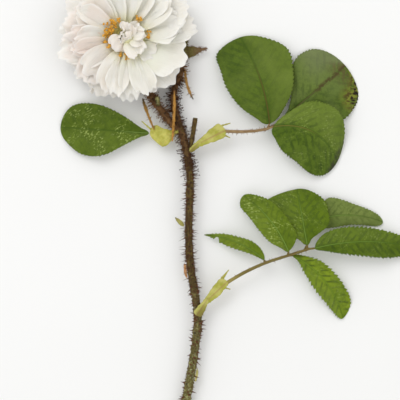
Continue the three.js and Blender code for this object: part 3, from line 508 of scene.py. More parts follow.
def leafFinish(name, leaf):
    shade = Finish(name, Roughness=0.5, Specular_IOR_Level=0.12)
    reach, side, where = shade.field("reach"), shade.field("side"), shade.place()
    wide = abs(side)
    fine = shade.cloud(where, 1.4, 4, 0.65)
    mottle = shade.cloud(where, 0.34, 4, 0.7)
    colour = shade.mix(*leaf["tone"], (shade.cloud(where, 0.07, 2) * 1.5 - 0.5 + 0.5 * fine).clip())
    colour = colour.to("2f440a", mottle.rise(0.46, 0.62) * leaf["mottle"])

    vein = shade.field("vein") + (mottle - 0.5) * 0.5
    ridge = abs(vein.maths("SINE", vein * math.pi))  # 0 on a side vein, 1 midway between two
    onBlade = wide.rise(0.03, 0.12) * (1 - wide.rise(0.7, 0.95)) * shade.cloud(where, 0.15, 2).rise(0.35, 0.6)
    colour = colour.to("8a9c4a", (1 - ridge.rise(0.02, 0.16)) * onBlade * leaf["veins"] * 0.6)
    colour = colour.to("2c4208", (1 - ridge.rise(0.1, 0.8)) * onBlade * leaf["veins"])

    # painted sheen: a paler grey-green laid over the blade in broad soft patches
    veil = shade.cloud(where, 0.05, 1).rise(0.35, 0.7)
    if "veilSide" in leaf:  # painted light: one half of the blade is painted lighter, as if turned more to the light
        veil = veil * 0.4 + (side * leaf["veilSide"]).rise(-0.1, 0.5) * 0.6
    colour = colour.to(leaf.get("veilColour", "7c8e3c"), veil * leaf["veil"] * 0.6)

    # pale flecks in patches
    patches = shade.cloud(where, 0.1, 2, 0.6).rise(0.45, 0.6)
    streaks = shade.cloud(shade.place((0.3, 1.0, 1.0), 0.7), 1.5, 3, 0.7).rise(0.56, 0.63)
    spots = shade.cells(where, 0.55).rise(0.3, 0.14)
    flecks = (streaks * patches + spots * patches * 0.35) * leaf["flecks"]
    colour = colour.to("b3c26c", flecks.clip() * 0.7)

    # the midrib, and the thin rim of the blade
    across = abs(side.node("ShaderNodeSeparateXYZ", (), {"Vector": where}, 1))
    offRib = across * (0.7 + 0.8 * reach)
    ribColour, ribWidth, ribEnd = leaf["rib"]
    rib = (1 - offRib.rise(ribWidth * 0.4, ribWidth)) * (1 - reach.rise(ribEnd * 0.6, ribEnd + 0.08))
    # painted shade: darker green either side of the sunk midrib
    colour = colour.to("2f4a0c", (1 - offRib.rise(ribWidth, ribWidth * 3)) * 0.4)
    colour = colour.to(ribColour, rib * 0.85)
    colour = colour.to("4f5a1c", wide.rise(0.97, 1.0) * 0.6)

    if "blotch" in leaf:  # the sick patch near the tip, on the right, and a painted sheen on the left
        zone = side.rise(0.35, 0.75) * reach.rise(0.6, 0.78)
        spotted = shade.cloud(where, 0.5, 4, 0.7)
        black = spotted.rise(0.49, 0.55) * zone * side.rise(0.45, 0.9) * reach.rise(0.66, 0.8)
        tip = reach.rise(0.72, 0.95) * (1 - wide.rise(0.25, 0.7))
        brown = (1 - offRib.rise(0.7, 2.4)) * reach.rise(0.4, 0.6)
        colour = colour.to("8e9034", (shade.cloud(where, 0.16, 4, 0.7).rise(0.4, 0.56) * zone).clip() * 0.6)
        colour = colour.to("57401f", (spotted.rise(0.46, 0.54) * zone).clip() * 0.9)
        colour = colour.to("1d1712", black.clip())
        colour = colour.to("5b5130", (tip * spotted.rise(0.38, 0.55)).clip() * 0.85)
        colour = colour.to("4c4022", (brown * spotted.rise(0.4, 0.52)).clip() * 0.85)
        # painted sheen: a greyish cast on the left half towards the tip
        colour = colour.to("7d8360", (side * -1.0).rise(0.1, 0.6) * reach.rise(0.5, 0.8) * 0.5)
    if "darkTip" in leaf:
        tip = reach.rise(0.9, 0.97) * (0.4 + shade.cloud(where, 0.35, 3).rise(0.4, 0.6) * 0.6)
        colour = colour.to("35332a", tip * 0.9)

    colour = colour.to("8d9c68", shade.field("under") * 0.75)
    tiny = shade.cells(where, 1.1, "DISTANCE_TO_EDGE").rise(0.0, 0.12)
    height = tiny * 0.25 + ridge.rise(0.0, 0.3) * 0.4 * onBlade + fine * 0.5 + mottle * 0.9
    return shade.done(Base_Color=colour, Normal=shade.bump(height, 0.2, 0.6), Roughness=0.42 + 0.2 * fine)


for name, leaf in leaves.items():
    skin = Skin("reach", "side", "vein", "flat", "under")
    addLeaf(skin, leaf)
    skin.piece("blade_" + name, leafFinish("green_" + name, leaf), name)
print("cut rose: leaves made")


# Spikes and moss. A shape is a list of shares of the length and of the radius there.

thornShape = [(-0.15, 1.3), (0.06, 1.0), (0.2, 0.55), (0.6, 0.26)]
bristleShape = [(-0.15, 1.1), (0.4, 0.6)]
knobShape = [(-0.5, 1.5), (0.1, 1.2), (0.65, 0.7)]
glandShape = [(-0.1, 1.0), (0.8, 0.55), (0.84, 1.3), (0.95, 1.2)]
hairShape = [(-0.2, 1.2), (0.3, 0.7)]


# Moss along a blade: fine hairs, most of them from its edges
def addMoss(skin, wing, count, rng, length, shape=glandShape, radius=(0.06, 0.1)):
    u = rng.uniform(0.05, 0.97, (count, 1))
    v = rng.choice([-1.0, 1.0], (count, 1)) * (1 - rng.uniform(0, 1, (count, 1)) ** 2)
    points, _ = bladePoints(wing, u, v)
    ahead = unit(wing["tip"] - wing["base"])
    right = unit(np.cross(ahead, [0, 0, 1]))
    out = right * v + [0, 0, 0.25] * rng.choice([-1.0, 1.0], (count, 1)) + ahead * 0.35
    out = out + 0.35 * rng.normal(size=(count, 3))
    addSpikes(skin, points[:, 0], out, rng.uniform(*length, count), rng.uniform(*radius, count), shape,
              share=u[:, 0], wing=1.0)


# Leaf stalks, stipules, bracts and scales

wingSheet = {"half": 0.16, "least": 0.15}  # in millimetres


# A thin plain blade. ruffle waves its surface, and fringe is how far its edges are torn.
def addWing(skin, wing, ruffle, rows, fringe):
    u = rowPlace(np.linspace(0, 1, rows + 1))[:, None]
    v = np.linspace(-1, 1, 17)[None, :]
    jag = np.array([bladeDraws() - 0.5 for _ in range(rows + 1)])[:, None]
    points, half = bladePoints(wing, u, v, fringe * jag * np.clip((np.abs(v) - 0.8) / 0.2, 0, 1))
    points[..., 2] += ruffle * np.abs(v) * np.sin(5 * math.pi * u + 2 * v)
    upper, lower = bladeSides(points, wingSheet["half"], -wingSheet["half"], wingSheet["least"])
    length = np.linalg.norm(wing["tip"] - wing["base"])
    flat = np.stack([u * length + 0 * v, v * half, 0 * (u + v)], -1)
    addSheet(skin, upper, lower, share=u + 0 * v, side=v + 0 * u, flat=flat, wing=1.0,
             clasp=wing.get("clasp", 0))


awn = [0.5, 0.45, 0.35, 0.2, 0.1]
stalks = {  # each stalk's route, the short stalks to its leaflets, and the blades that grow along it
    "upper": {
        "route": [(-21.0, 37.4, 8.2), (-19.0, 39.6, 8.6), (-13.8, 43.6, 9.0), (-7.6, 45.0, 9.2),
                  (3.6, 45.0, 9.2), (12.0, 45.4, 9.2), (19.0, 46.6, 9.2)],
        "short": {"left": [(18.0, 46.3, 9.1)],
                  "end": [(18.0, 46.5, 8.8), (23.4, 49.4, 7.4)],
                  "right": [(17.6, 46.3, 9.4)]},
        "wings": [
            blade((-24.4, 34.0, 10.4), (-18.2, 40.0, 9.5), 10.4,
                  [1.0, 1.4, 1.5, 1.3, 1.2], [1.1, 1.6, 1.9, 1.9, 1.7], droop=0.3, clasp=1),
            blade((-21.0, 37.6, 9.6), (-4.6, 45.6, 9.9), 9.9,
                  [1.2, 2.2, 3.9, 5.0, 4.6], [1.7, 2.1, 2.7, 3.2, 2.6], fold=0.1),
            blade((-7.0, 48.2, 9.6), (-2.0, 49.6, 10.0), 9.8, awn),
            blade((-6.4, 43.6, 9.4), (-2.2, 41.6, 9.4), 9.5, awn)],
        "radii": (1.0, 0.72), "hairs": 190, "tan": "ac9468", "dark": "7c5c40",
    },
    "lower": {
        "route": [(-16.4, -50.2, 6.6), (-14.6, -47.0, 7.0), (-10.6, -42.8, 7.4), (-3.5, -37.9, 8.2),
                  (6.2, -32.2, 9.0), (16.7, -27.4, 9.6), (23.0, -25.2, 9.9), (29.4, -23.2, 10.0),
                  (37.4, -20.7, 9.8), (41.6, -19.3, 9.6)],
        "short": {"small": [(16.7, -27.4, 9.6)],
                  "left": [(29.4, -23.2, 10.0)],
                  "right": [(29.0, -23.3, 9.8)],
                  "upper": [(40.2, -19.7, 9.8)],
                  "side": [(41.0, -19.5, 9.7)],
                  "end": [(38.6, -20.2, 9.6), (41.2, -15.4, 6.9), (43.6, -8.6, 5.6)]},
        "wings": [
            blade((-20.6, -56.2, 9.6), (-14.4, -46.8, 8.3), 10.0,
                  [2.3, 2.5, 2.0, 1.5, 1.4], [2.3, 2.6, 2.1, 1.6, 1.5], droop=0.35, clasp=1),
            blade((-15.8, -48.8, 7.6), (-3.4, -37.5, 9.1), 8.6,
                  [1.4, 2.4, 3.3, 3.9, 3.6], [1.6, 2.2, 2.5, 1.8, 1.4], fold=0.1),
            blade((-7.0, -36.4, 8.5), (-2.9, -31.0, 9.2), 9.0, [0.9, 0.8, 0.6, 0.3, 0.1]),
            blade((-6.0, -40.6, 8.4), (-2.0, -41.7, 8.8), 8.7, awn)],
        "radii": (1.1, 0.7), "hairs": 90, "tan": "7f783c", "dark": "69512f",
    },
}


def stalkFinish(name, tan, dark):
    shade = Finish(name, Roughness=0.6, Specular_IOR_Level=0.2)
    share, side, where = shade.field("share"), shade.field("side"), shade.place()
    wide = abs(side)
    streaks = shade.cloud(shade.place((0.22, 1.6, 1.6)), 1.2, 3)
    stalk = shade.mix(tan, dark, (streaks.rise(0.35, 0.65) * 0.6 + share * 0.25).clip())
    stalk = stalk.to("a89a58", share.rise(0.42, 0.3) * 0.55)
    patches = shade.cloud(where, 0.18, 3).rise(0.35, 0.65)
    foot = share.rise(0.95, 0.15) * side.rise(-0.9, 0.3) * shade.field("clasp")
    wing = shade.mix("a2a23e", "beba68", patches)
    wing = wing.to("8f9440", streaks.rise(0.5, 0.7) * 0.3)
    wing = wing.to("a07c52", (1 - wide.rise(0.02, 0.22)) * 0.6)
    wing = wing.to("8c7a3c", wide.rise(0.93, 1.0) * 0.4)
    wing = wing.to("6a5630", foot * (0.6 + 0.4 * patches))  # browner where it clasps the cane
    colour = stalk.to(wing, shade.field("wing"))
    colour = colour.to("7a4a34", shade.field("spike").rise(0.1, 0.6) * 0.8)
    height = streaks + shade.cloud(where, 3, 3) * 0.4
    return shade.done(Base_Color=colour, Normal=shade.bump(height, 0.15, 0.6))


for name, stalk in stalks.items():
    rng = np.random.default_rng(len(stalk["short"]))
    skin = Skin("share", "side", "flat", "under", "wing", "spike", "clasp")
    route = Route(stalk["route"])
    thick, thin = stalk["radii"]
    addStem(skin, route, lambda t: thick + (thin - thick) * t, 12, 60)
    for place, points in stalk["short"].items():
        short = Route(points + [leaves[name + "_leaflet_" + place]["base"]])
        addStem(skin, short, lambda t: 0.62 - 0.1 * t, 10, 12, start=0.9)
    for wing in stalk["wings"]:
        addWing(skin, wing, 0.3, 30, 0.5)
    shares = rng.uniform(0.35, 0.98, stalk["hairs"])
    turns = rng.uniform(0, 2 * math.pi, len(shares))[:, None]
    _, out = route.outwards(shares, turns, 200)
    lengths = 0.4 + 1.4 * rng.uniform(0, 1, len(shares)) ** 2
    addSpikes(skin, route.at(shares) + out * thin, out + 0.2 * rng.normal(size=out.shape), lengths,
              rng.uniform(0.1, 0.24, len(shares)), hairShape, 4, share=shares)
    finish = stalkFinish("stalk_green_" + name + "_leaf_stalk", stalk["tan"], stalk["dark"])
    skin.piece("stalk_of_" + name + "_leaf", finish, name + "_leaf_stalk")


stipule = [
    blade((-32.2, 44.0, 6.8), (-46.3, 44.2, 6.6), 7.8,
          [2.2, 5.6, 7.3, 4.8, 2.6], [1.2, 2.0, 2.8, 4.4, 3.3], fold=0.1, droop=0.15),
    blade((-30.4, 45.3, 9.0), (-34.8, 44.2, 7.4), 8.2,
          [0.8, 1.0, 1.2, 1.4, 1.6], [0.8, 1.0, 1.1, 1.2, 1.2], droop=0.2),
    blade((-44.6, 45.2, 6.8), (-50.8, 50.8, 7.4), 7.2, awn),
]


def stipuleFinish():
    shade = Finish("stipule_yellow_green", Roughness=0.5)
    where = shade.place()
    colour = shade.mix("a5a12e", "c6c15c", shade.cloud(where, 0.25, 4, 0.65).rise(0.35, 0.65))
    netting = shade.cells(where + shade.cloud(where, 0.6, 2) * 1.5, 0.45, "DISTANCE_TO_EDGE").rise(0.0, 0.12)
    colour = colour.to("959a34", (1 - netting) * 0.3)
    colour = colour.to("b08a3c", shade.cloud(where, 0.7, 3).rise(0.58, 0.68) * 0.5)
    colour = colour.to("cdd68c", shade.field("share").rise(0.1, 0.0) * 0.6)
    height = shade.cloud(where, 0.8, 4) + netting * 0.2
    return shade.done(Base_Color=colour, Normal=shade.bump(height, 0.3, 0.6))


skin = Skin("share", "side", "flat", "under", "wing")
for wing in stipule:
    addWing(skin, wing, 0.45, 40, 0.3)
skin.piece("stipule_of_single_leaf", stipuleFinish(), "single_leaf_stipule")


bractWidths = [0.5, 0.7, 0.75, 0.7, 0.4]
dryPieces = {  # darkFrom is the share of the length where the dark tip begins
    "dry_bract_left": blade(
        (-43.8, 45.9, 8.4), (-50.3, 63.2, 9.6), 8.8, [0.4, 0.6, 0.7, 0.9, 0.6], sideBow=-0.3, fold=0.2,
        colour="9c6f26", pale="c0923e", dark="3c3218", darkFrom=0.6, hairs=18),
    "dry_bract_middle": blade(
        (-34.0, 39.6, 9.4), (-32.8, 67.6, 8.3), 8.8, bractWidths, sideBow=0.4, fold=0.2,
        colour="b07a2c", pale="d2a24c", dark="8a5a26", darkFrom=0.9, hairs=26),
    "dry_bract_right": blade(
        (-26.9, 79.6, 4.6), (-22.4, 62.8, 6.0), 5.4, bractWidths, sideBow=1.2, fold=0.2,
        colour="a87832", pale="cfa050", dark="30302e", darkFrom=0.72, hairs=24),
    "cane_scale_upper": blade(
        (-27.5, -7.0, 6.9), (-32.4, -2.2, 6.6), 6.9, [0.6, 1.1, 1.2, 0.8, 0.3], fold=0.1,
        colour="9b9a4a", pale="b9b36a", dark="7a6a34", darkFrom=0.6),
    "cane_scale_middle": blade(
        (-25.9, -35.4, 6.7), (-27.2, -27.6, 7.0), 6.9, [0.6, 1.0, 1.1, 0.9, 0.6], [0.3, 0.4, 0.5, 0.7, 0.6],
        fold=0.1, colour="c98f52", pale="deb484", dark="8f5a30", darkFrom=0.85),
    "cane_scale_lower": blade(
        (-21.3, -92.6, 5.3), (-20.2, -85.4, 5.6), 5.5, [0.4, 0.5, 0.5, 0.4, 0.3], [0.5, 0.8, 0.9, 0.8, 0.4],
        fold=0.1, colour="b9b06a", pale="cfc888", dark="8f8648", darkFrom=0.85),
}


def dryFinish(name, look):
    shade = Finish(name, Roughness=0.8)
    fibres = shade.cloud(shade.place((0.3, 3.0, 1.0)), 1.4, 4, 0.7)
    colour = shade.mix(look["colour"], look["pale"], fibres.rise(0.35, 0.7))
    colour = colour.to(look["dark"], fibres.rise(0.62, 0.5) * 0.35)
    colour = colour.to(look["dark"], shade.field("share").rise(look["darkFrom"], 1.0) * 0.9)
    colour = colour.to("6b4a24", shade.field("spike").rise(0.0, 0.4) * 0.85)
    return shade.done(Base_Color=colour, Normal=shade.bump(fibres, 0.25, 0.8))


rng = np.random.default_rng(6)
for name, look in dryPieces.items():
    skin = Skin("share", "side", "flat", "under", "wing", "spike")
    addWing(skin, look, 0.18, 40, 0.35)
    if "hairs" in look:
        addMoss(skin, look, look["hairs"], rng, (0.7, 2.4), bristleShape, (0.16, 0.3))
    skin.piece("dried_" + name, dryFinish("dry_" + name, look), name)
print("cut rose: stalks, stipules and dry pieces made")


# Bloom

bloomX, bloomY = -58.9, 96.5
clawHeight = 14.0
lowGuard, highGuard = clawHeight - 0.8, clawHeight + 0.4
petalLook = {"cup": 0.1, "round": 0.26, "frill": 0.85, "crease": 0.5, "curl": 0.7, "hem": 0.5}
petalSheet = {  # the thicknesses in millimetres, the first one from the middle surface
    "half": 0.19, "thinnerRim": 0.11, "least": 0.15,
    "crowding": 0.92,  # how close the columns stand at its edges
    "streakShift": 37.0,  # so that no two petals are streaked alike
}


# A petal's middle surface. u runs from its claw to its rim and v from edge to edge.
def petalPoints(petal, u, v):
    look = {**petalLook, **petal}
    start = math.radians(look["rise"])
    change = math.radians(look["fall"]) - start
    reach = look["reach"] - look["rootRadius"]
    length = reach * change / (math.sin(start + change) - math.sin(start))
    phase = look["phase"]
    dip = look["notch"] * np.exp(-20 * v * v) * u ** 3
    lobes = 0.032 * np.sin(2.9 * v + 2.3 * phase) + 0.024 * np.sin(6.7 * v + 1.3 * phase)
    nicks = u ** 4 * (lobes + 0.02 * np.sin(15 * v - phase) - 0.062)
    slope = start + change * (u * (1 - look["round"] * v * v * u - dip) + nicks)
    out = (length / change) * (np.sin(slope) - math.sin(start))
    up = (-length / change) * (np.cos(slope) - math.cos(start))
    opened = np.sin(np.minimum(u / 0.78, 1) * math.pi / 2) ** 0.95
    closing = 1 - 2.4 * np.maximum(u - 0.78, 0) ** 2
    half = 0.5 * look["width"] * (0.12 + 0.88 * opened) * closing
    half = half * (1 + 0.06 * np.sin(3 * u + phase) * np.sign(v))
    wavy = look["ripple"] * u * u * np.sin(2.6 * v + phase)
    frill = np.sin(5.8 * v + 1.9 * phase) * (0.6 + 0.4 * np.sin(9 * u))
    frill = frill + 0.6 * np.sin(9.7 * v - 2.3 * phase + 4 * u)
    creases = step(0.05, 0.3, u) * (1 - 0.45 * u) * (np.abs(np.sin(2.4 * v + 1.5 * phase)) - 0.6)
    pleats = 0.1 * step(0.05, 0.35, u) * np.sin(13 * v + 3 * phase) * (1 - 0.4 * u)
    curled = step(0.8, 1.0, u) * (0.3 + 0.7 * np.sin(1.7 * v + 2.1 * phase))
    hemSide = 1 if math.sin(5 * phase) > 0 else -1
    hem = step(0.62, 1.0, v * hemSide) * step(0.3, 0.7, u)
    lift = half * (look["cup"] * v * v + look["roll"] * v) + wavy + look["frill"] * u ** 3 * frill
    lift = lift + look["crease"] * creases + pleats - look["curl"] * curled + look["hem"] * hem
    radial = look["rootRadius"] + out - lift * np.sin(slope)
    height = look["rootHeight"] + up + lift * np.cos(slope)
    across = v * half
    turn = math.radians(look["turn"])
    x = bloomX + radial * math.cos(turn) + across * math.sin(turn)
    y = bloomY + radial * math.sin(turn) - across * math.cos(turn)
    return np.stack([x, y, height], -1), np.stack([u * length + 0 * v, across, 0 * across], -1)


def addPetal(skin, petal, rows, columns, number):
    share = np.linspace(0, 1, rows)
    u = (0.03 + 0.97 * (1 - (1 - share) ** 1.35))[:, None]
    crowding = petalSheet["crowding"]
    v = np.sin(np.linspace(-1, 1, columns) * math.pi / 2 * crowding) / math.sin(math.pi / 2 * crowding)
    v = v[None, :]
    points, flat = petalPoints(petal, u, v)
    normals = unit(np.cross(np.gradient(points, axis=1), np.gradient(points, axis=0)))
    rim = np.maximum(step(0.9, 1.0, u), step(0.92, 1.0, np.abs(v)) * step(0.3, 0.6, u))
    thickness = (petalSheet["half"] - petalSheet["thinnerRim"] * rim)[..., None]
    upper = points + normals * thickness
    lower = points - normals * thickness
    lower[..., 2] = np.maximum(lower[..., 2], tableGap)
    upper[..., 2] = np.maximum(upper[..., 2], tableGap + petalSheet["least"])
    flat[..., 2] = petalSheet["streakShift"] * number
    addSheet(skin, upper, lower, reach=u + 0 * v, side=v + 0 * u, flat=flat, blush=petal["blush"],
             tint=petal["tint"])


def petalRows(keys, rows, **look):  # one petal to a row, and the look that they share
    return [{**look, **dict(zip(keys.split(), row))} for row in rows]


def varied(petals, rise, fall, **look):  # petals that stand and roll a little differently
    return [{
        "rise": rise + 8 * (petalDraws() - 0.5),
        "fall": fall + 10 * (petalDraws() - 0.5),
        "cup": 0.2 + 0.2 * petalDraws(),
        "roll": 0.1 + 0.2 * petalDraws(),
        "ripple": 0.6 + 0.6 * petalDraws(),
        "phase": 6 * petalDraws(),
        **look, **petal} for petal in petals]


petalDraws = seededDraws(21)
guards = petalRows("turn reach width rise fall rootHeight", [
    (-15, 36.8, 31, 12, -10, highGuard), (-48, 38, 31, 8, -12, lowGuard),
    (-88, 36.5, 22, 12, -16, highGuard), (-110, 38, 25, 6, -24, lowGuard),
    (-124, 37.6, 9, 4, -20, lowGuard), (-137, 35, 25, 12, -14, highGuard),
    (-153, 38.4, 20, 6, -22, lowGuard), (-167, 40, 18, 14, -14, highGuard),
    (177, 38.4, 18, 8, -20, lowGuard), (161, 38.8, 19, 14, -14, highGuard),
    (148, 40, 24, 6, -22, lowGuard), (122, 38, 27, 13, -14, highGuard),
    (97, 37, 26, 6, -24, lowGuard), (73, 37.5, 26, 13, -14, highGuard),
    (50, 38.5, 25, 6, -22, lowGuard), (28, 40.2, 19, 13, -13, highGuard),
    (13, 40.4, 20, 8, -12, lowGuard)], rootRadius=4, roll=0.16, ripple=0.9)
for i, petal in enumerate(guards):
    petal["phase"] = 1.7 * i
    petal["notch"] = 0.05 if i % 3 == 0 else 0
guards[0].update({"frill": 0.25, "crease": 0.15, "curl": -1.3})  # the two broad ones on the lower right
guards[1].update({"frill": 0.3, "crease": 0.2})
straps = varied(petalRows("turn reach width", [
    (22, 33, 20), (47, 35, 19), (71, 34, 17), (94, 36, 18), (117, 34, 18), (139, 36, 19), (161, 33, 21),
    (184, 36, 16), (204, 33, 17), (227, 32, 20), (252, 34, 18), (275, 36.5, 13), (292, 34, 13),
]), 30, -17, rootRadius=5, rootHeight=clawHeight + 0.1)
inner = varied(petalRows("turn reach width hem", [
    (14, 31, 19), (52, 35, 16), (84, 37, 14), (112, 36, 14), (146, 33, 21), (184, 31, 16), (222, 24, 15),
    (258, 34, 13, 1.3), (292, 35, 14, 1.3), (328, 19, 13),
]), 33, -8, rootRadius=7.9, rootHeight=clawHeight + 0.6)
centre = petalRows("turn reach width rise fall phase rootRadius", [
    (-122, 9.5, 15, 80, -24, 0.4), (-55, 13.5, 12, 74, -14, 2.2), (-8, 11.0, 10, 78, 0, 4.1),
    (35, 11.5, 11, 76, -8, 5.0), (78, 8.5, 10, 80, 10, 1.2), (150, 4.0, 11, 84, 60, 3.0),
    (110, -1, 10, 92, 150, 0.5, 3.2), (-40, -2, 10, 94, 150, 2.5, 3.2),
], rootRadius=2.2, rootHeight=clawHeight + 1.6, pink=0.35, cup=0.3, roll=0.25, ripple=1.5, frill=1.2,
    crease=1.1, curl=0.5)


# The petals on the lower left are faintly pink, and those on the right a little green
def tinted(petals):
    for petal in petals:
        turn = math.radians(petal["turn"])
        if petal["width"] < 22:  # the tips of the narrower ones are notched
            notch = 0.15 * tintDraws()
            petal.setdefault("notch", notch)
            petal["round"] = 0.1 + 0.14 * tintDraws()
        pink = max(math.cos(turn - math.radians(195)), 0) ** 2 * 0.7
        green = max(math.cos(turn - math.radians(-20)), 0) ** 2 * 0.7
        petal["blush"] = pink + 0.15 * tintDraws() + petal.get("pink", 0)
        petal["tint"] = green + 0.2 * tintDraws()
    return petals


def petalFinish():
    shade = Finish("petal_white", Roughness=0.6, Specular_IOR_Level=0.2, Subsurface_Weight=0.3,
                   Subsurface_Radius=(1, 0.92, 0.8), Subsurface_Scale=1.5 * mm)
    reach, where = shade.field("reach"), shade.place()
    streaks = shade.cloud(shade.place((0.1, 1.1, 1.0)), 0.9, 4, 0.6)
    soft = shade.cloud(where, 0.06, 2)
    colour = shade.mix("f2efe6", "e8e4d8", soft.rise(0.35, 0.7))
    colour = colour.to("f3dcd3", (shade.field("blush") * soft.rise(0.3, 0.6)).clip() * 0.7)
    colour = colour.to("e6e9d0", (shade.field("tint") * (1 - reach.rise(0.3, 0.9))).clip() * 0.7)
    colour = colour.to("e9e6ac", (1 - reach.rise(0.05, 0.45)) * 0.7)
    colour = colour.to("d4d0c2", streaks.rise(0.5, 0.75) * 0.3)
    # painted highlight: a paler band along each petal's tip and edges
    rim = reach.rise(0.86, 1.0) + abs(shade.field("side")).rise(0.86, 1.0) * reach.rise(0.4, 0.7)
    colour = colour.to("faf8f3", rim.clip() * 0.4)
    vein = shade.cloud(shade.place((0.05, 1.6, 1.0)), 1.3, 2)
    height = streaks * 0.6 + vein * 0.8 + shade.cloud(where, 0.35, 3) * 0.8
    return shade.done(Base_Color=colour, Normal=shade.bump(height, 0.35, 0.5))


petalFields = ("reach", "side", "flat", "under", "blush", "tint")
petalWhite = petalFinish()
tintDraws = seededDraws(4)
number = 0
for name, petals, rows, columns in (("petals_outer", guards, 36, 45), ("petals_middle", straps, 32, 35),
                                    ("petals_inner", inner, 28, 31), ("petals_centre", centre, 28, 35)):
    skin = Skin(*petalFields)
    for petal in tinted(petals):
        addPetal(skin, petal, rows, columns, number)
        number += 1
    skin.piece(name, petalWhite, "bloom_petals")
print("cut rose: petals made")


# The ring that carries the stamens, and the round base that the petals grow from
def addTurned(skin, profile, **values):  # radii and heights, turned round the bloom's middle
    turns = np.linspace(0, 2 * math.pi, 48, endpoint=False)
    radii, heights = np.array(profile, float).T[..., None]
    x, y = bloomX + radii * np.cos(turns), bloomY + radii * np.sin(turns)
    points = np.stack([x, y, heights + 0 * x], -1)
    skin.add(points, [gridFaces(len(profile), len(turns), True)], **values)


def stamenFinish():
    shade = Finish("stamen_orange", Roughness=0.7)
    where = shade.node("ShaderNodeTexCoord", (), (), 3)
    grains = shade.cloud(where, 2600.0, 2)
    filament = shade.mix("d9cf86", "c98a18", shade.field("share").rise(0.4, 0.95))
    anther = shade.mix("d09020", "e8b440", grains.rise(0.35, 0.65))
    # painted shade: darker orange patches among the anthers
    anther = anther.to("9a6018", shade.cloud(where, 900.0, 2).rise(0.55, 0.7) * 0.5)
    colour = filament.to(anther, shade.field("anther"))
    return shade.done(Base_Color=colour, Normal=shade.bump(grains, 0.12, 0.7))


antherShape = [(-1.0, 0.35), (-0.6, 0.85), (0.0, 1.0), (0.55, 0.8)]
stamenRing = [(4.75, 16.0), (6.3, 16.0), (6.3, 16.7), (4.75, 17.0), (4.75, 16.0)]
petalBase = [(0.01, 12.0), (5, 12.0), (6.6, 12.0), (8.0, 13.0), (8.6, 14.2), (8.4, 15.2), (8.0, 15.7),
             (4.4, 15.75), (4.3, 17.0), (3.6, 18.6), (2, 19.9), (0.01, 20.4)]
stamen = {
    "rootHeight": 16.6, "rootRadii": (5.0, 6.1), "radius": 0.13, "taper": 0.03, "stray": 0.35, "bow": 0.5,
    "antherLength": 0.95, "antherRadius": 0.3, "lobesApart": 0.22,
}
stamenGroups = [  # direction in degrees, its spread, how many, their lengths, and how steep they stand
    (152, 28, 42, 5.0, 10.2, 22, 60), (205, 14, 12, 4.6, 7.0, 20, 50), (262, 14, 9, 4.4, 6.6, 12, 32),
    (58, 12, 9, 6.5, 9.6, 24, 46), (4, 10, 7, 6.5, 9.0, 20, 40), (110, 20, 4, 5.0, 8.0, 40, 60),
]
skin = Skin("share", "anther", "spike", "flat", "cut")
addTurned(skin, stamenRing, share=0.1)
rng = np.random.default_rng(12)
for heading, spread, count, shortest, longest, least, most in stamenGroups:
    for k in range(count):
        turn = math.radians(heading + spread * rng.uniform(-1, 1))
        rise = math.radians(rng.uniform(least, most))
        outward = np.array([math.cos(turn), math.sin(turn), 0])
        root = [bloomX, bloomY, stamen["rootHeight"]] + outward * rng.uniform(*stamen["rootRadii"])
        tip = root + (outward * math.cos(rise) + [0, 0, math.sin(rise)]) * rng.uniform(shortest, longest)
        tip = tip + rng.normal(size=3) * stamen["stray"]
        middle = (root + tip) / 2 + [0, 0, stamen["bow"]] + rng.normal(size=3) * 0.2
        addStem(skin, Route([root, middle, tip]), lambda t: stamen["radius"] - stamen["taper"] * t, 5, 8)
        lie = unit(rng.normal(size=3) * [1, 1, 0.5])
        apart = unit(np.cross(lie, [0.1, 0.2, 1.0])) * stamen["lobesApart"]
        for lobe in (-1, 1):  # an anther has two lobes
            addSpikes(skin, (tip + apart * lobe)[None], lie[None], np.array([stamen["antherLength"]]),
                      np.array([stamen["antherRadius"]]), antherShape, 7, anther=1.0, share=1.0)
skin.piece("stamens", stamenFinish(), "bloom_stamens")

skin = Skin(*petalFields)
addTurned(skin, petalBase, reach=0.05)
skin.piece("petal_base", petalWhite, "bloom_petals")
print("cut rose: stamens made")


# Cane, side stalk, calyx and bud, with their prickles and moss

caneRoute = Route([
    (-31.3, -133.0, 2.2), (-30.8, -130.1, 2.4), (-28.3, -115.0, 3.4), (-26.1, -101.8, 4.4),
    (-23.3, -85.8, 5.4), (-20.6, -67.4, 6.2), (-19.9, -56.0, 6.4), (-21.4, -44.8, 6.6),
    (-23.9, -28.9, 6.8), (-24.9, -10.7, 7.0), (-24.4, 7.4, 7.0), (-24.3, 22.0, 7.0),
    (-26.4, 35.5, 7.0), (-28.6, 43.6, 6.8), (-34.1, 49.2, 6.4), (-40.2, 56.9, 5.8),
    (-45.1, 64.0, 5.2), (-49.9, 72.0, 4.6), (-54.2, 81.5, 4.1), (-57.15, 89.8, 4.4)])
sideRoute = Route([
    (-28.0, 42.0, 6.8), (-30.4, 50.0, 6.4), (-32.6, 57.0, 5.6), (-33.4, 64.0, 4.8),
    (-31.6, 72.0, 4.3), (-29.0, 78.0, 4.2), (-28.6, 82.1, 4.5)])
stubRoute = Route([(-24.4, 34.5, 7.4), (-22.8, 42.6, 9.4), (-21.2, 52.4, 11.0)])
scarRoute = Route([(-41.6, 59.2, 6.0), (-42.0, 62.2, 8.0), (-42.2, 63.6, 9.4)])
calyxRoute = Route([(-57.35, 90.4, 4.5), (-58.2, 92.8, 5.1), (-58.8, 95.4, 8.4), (bloomX, bloomY, 11.6)])
swellings = [(0.298, 0.4), (0.624, 0.45), (0.165, 0.25)]  # places along the cane and their added radius
stubRadius, scarRadius = 1.25, 1.3
canePlan = {"radius": 2.3, "thinner": 0.35, "footTrim": 0.17, "aboveFork": 1.75}
bristlePlan = {"sunk": 0.93, "scatter": 0.175, "aboveTable": 0.1, "fromNeighbour": 0.15, "middleFrom": 0.1}


